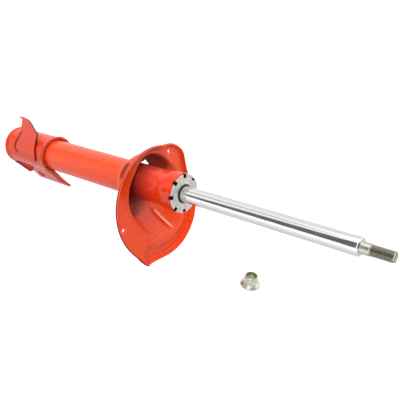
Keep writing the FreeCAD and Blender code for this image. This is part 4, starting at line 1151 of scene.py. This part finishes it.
def wstep(v, lo, hi, a=0.0, b=1.0):
    m = wt.nodes.new("ShaderNodeMapRange")
    m.interpolation_type = "SMOOTHSTEP"
    wt.links.new(v, m.inputs["Value"])
    for k, x in (("From Min", lo), ("From Max", hi), ("To Min", a), ("To Max", b)):
        m.inputs[k].default_value = x
    return m.outputs["Result"]


up_ = wdot((0, 0, 1))
# the box overhead ends higher up on the camera's side, where the room stays dark
front = wstep(wdot((0.66, -0.75, 0)), 0.0, 0.40)
box = wstep(wmath("SUBTRACT", up_, wmath("MULTIPLY", front, 0.02)), 0.58, 0.68)
zenith = wstep(up_, 0.70, 0.95, 1.90, BOX_LIGHT)
sweep = wmath("MULTIPLY", wstep(wdot((-0.174, 0.985, 0)), 0.13, 0.27), 1.15)
near = wmath("MULTIPLY", wstep(up_, 0.0, 0.16, 0.55, DARK), wmath("SUBTRACT", 1.0, wmath("MULTIPLY", front, 0.6)))
# the key light: a soft box on the camera's left
key = wmath("MULTIPLY", wstep(wdot((0.174, -0.985, 0)), 0.76, 0.86), KEY)
key = wmath("MULTIPLY", key, wstep(up_, 0.02, 0.10))
sweep = wmath("ADD", sweep, wmath("MULTIPLY", wstep(wdot((0.469, 0.883, 0)), 0.70, 0.88), 0.7))
low = wmath("MAXIMUM", wmath("MAXIMUM", sweep, near), key)
seam_ = wmath("MULTIPLY", wstep(wmath("ABSOLUTE", wdot((-0.208, 0.978, 0))), 0.035, 0.075, 1.0, 0.0), wstep(up_, 0.62, 0.70))
seam_ = wmath("MULTIPLY", seam_, wstep(up_, 0.84, 0.90, 1.0, 0.0))
seam_ = wmath("MULTIPLY", seam_, wstep(wdot((-0.978, -0.208, 0)), 0.3, 0.5))
sky = wmath("ADD", wmath("MULTIPLY", box, zenith), wmath("MULTIPLY", wmath("SUBTRACT", 1.0, box), low))
sky = wmath("MULTIPLY", sky, wmath("SUBTRACT", 1.0, wmath("MULTIPLY", seam_, 0.75)))
# what is mirrored: boxes to the left and behind with a seam between them, a dark
# strip of room beside the camera, and a softer overhead box
wx, wy = wdot((1, 0, 0)), wdot((0, 1, 0))
az = wmath("MULTIPLY", wmath("ARCTAN2", wy, wx), 57.29578)
boxes = wmath("ADD", wstep(az, -140.0, -134.0, 1.28, 0.0), wstep(az, 92.0, 180.0, 0.0, 1.0))
boxes = wmath("MAXIMUM", boxes, wmath("MULTIPLY", wstep(az, 92.0, 100.0), wstep(az, 120.0, 175.0, 1.02, 1.26)))
gap_ = wstep(wmath("ABSOLUTE", wmath("ADD", az, 167.0)), 3.0, 8.0, 0.30, 1.0)
boxes = wmath("MULTIPLY", boxes, gap_)
keyed = wmath("MULTIPLY", wmath("MULTIPLY", wstep(az, -104.0, -92.0), wstep(az, -52.0, -40.0, 1.0, 0.0)), wstep(up_, 0.02, 0.10, 0.0, 1.7))
right_ = wmath("MULTIPLY", wmath("MULTIPLY", wstep(az, 10.0, 26.0), wstep(az, 92.0, 100.0, 1.0, 0.0)), 1.35)
mirr = wmath("MAXIMUM", wmath("MAXIMUM", boxes, keyed), wmath("MAXIMUM", right_, 0.16))
mirr = wmath("ADD", wmath("MULTIPLY", mirr, wstep(up_, 0.80, 0.95, 1.0, 0.0)), wstep(up_, 0.76, 0.95, 0.0, 1.8))
wlp = wt.nodes.new("ShaderNodeLightPath")
sel = wlp.outputs["Is Glossy Ray"]
sky = wmath("ADD", wmath("MULTIPLY", sky, wmath("SUBTRACT", 1.0, sel)), wmath("MULTIPLY", mirr, sel))
wt.links.new(sky, bg.inputs["Strength"])
bg.inputs["Color"].default_value = (1, 1, 1, 1)

sc = bpy.context.scene
sc.view_settings.view_transform = "Standard"
sc.view_settings.look = "None"
sc.view_settings.exposure = 0.0
sc.view_settings.gamma = 1.0
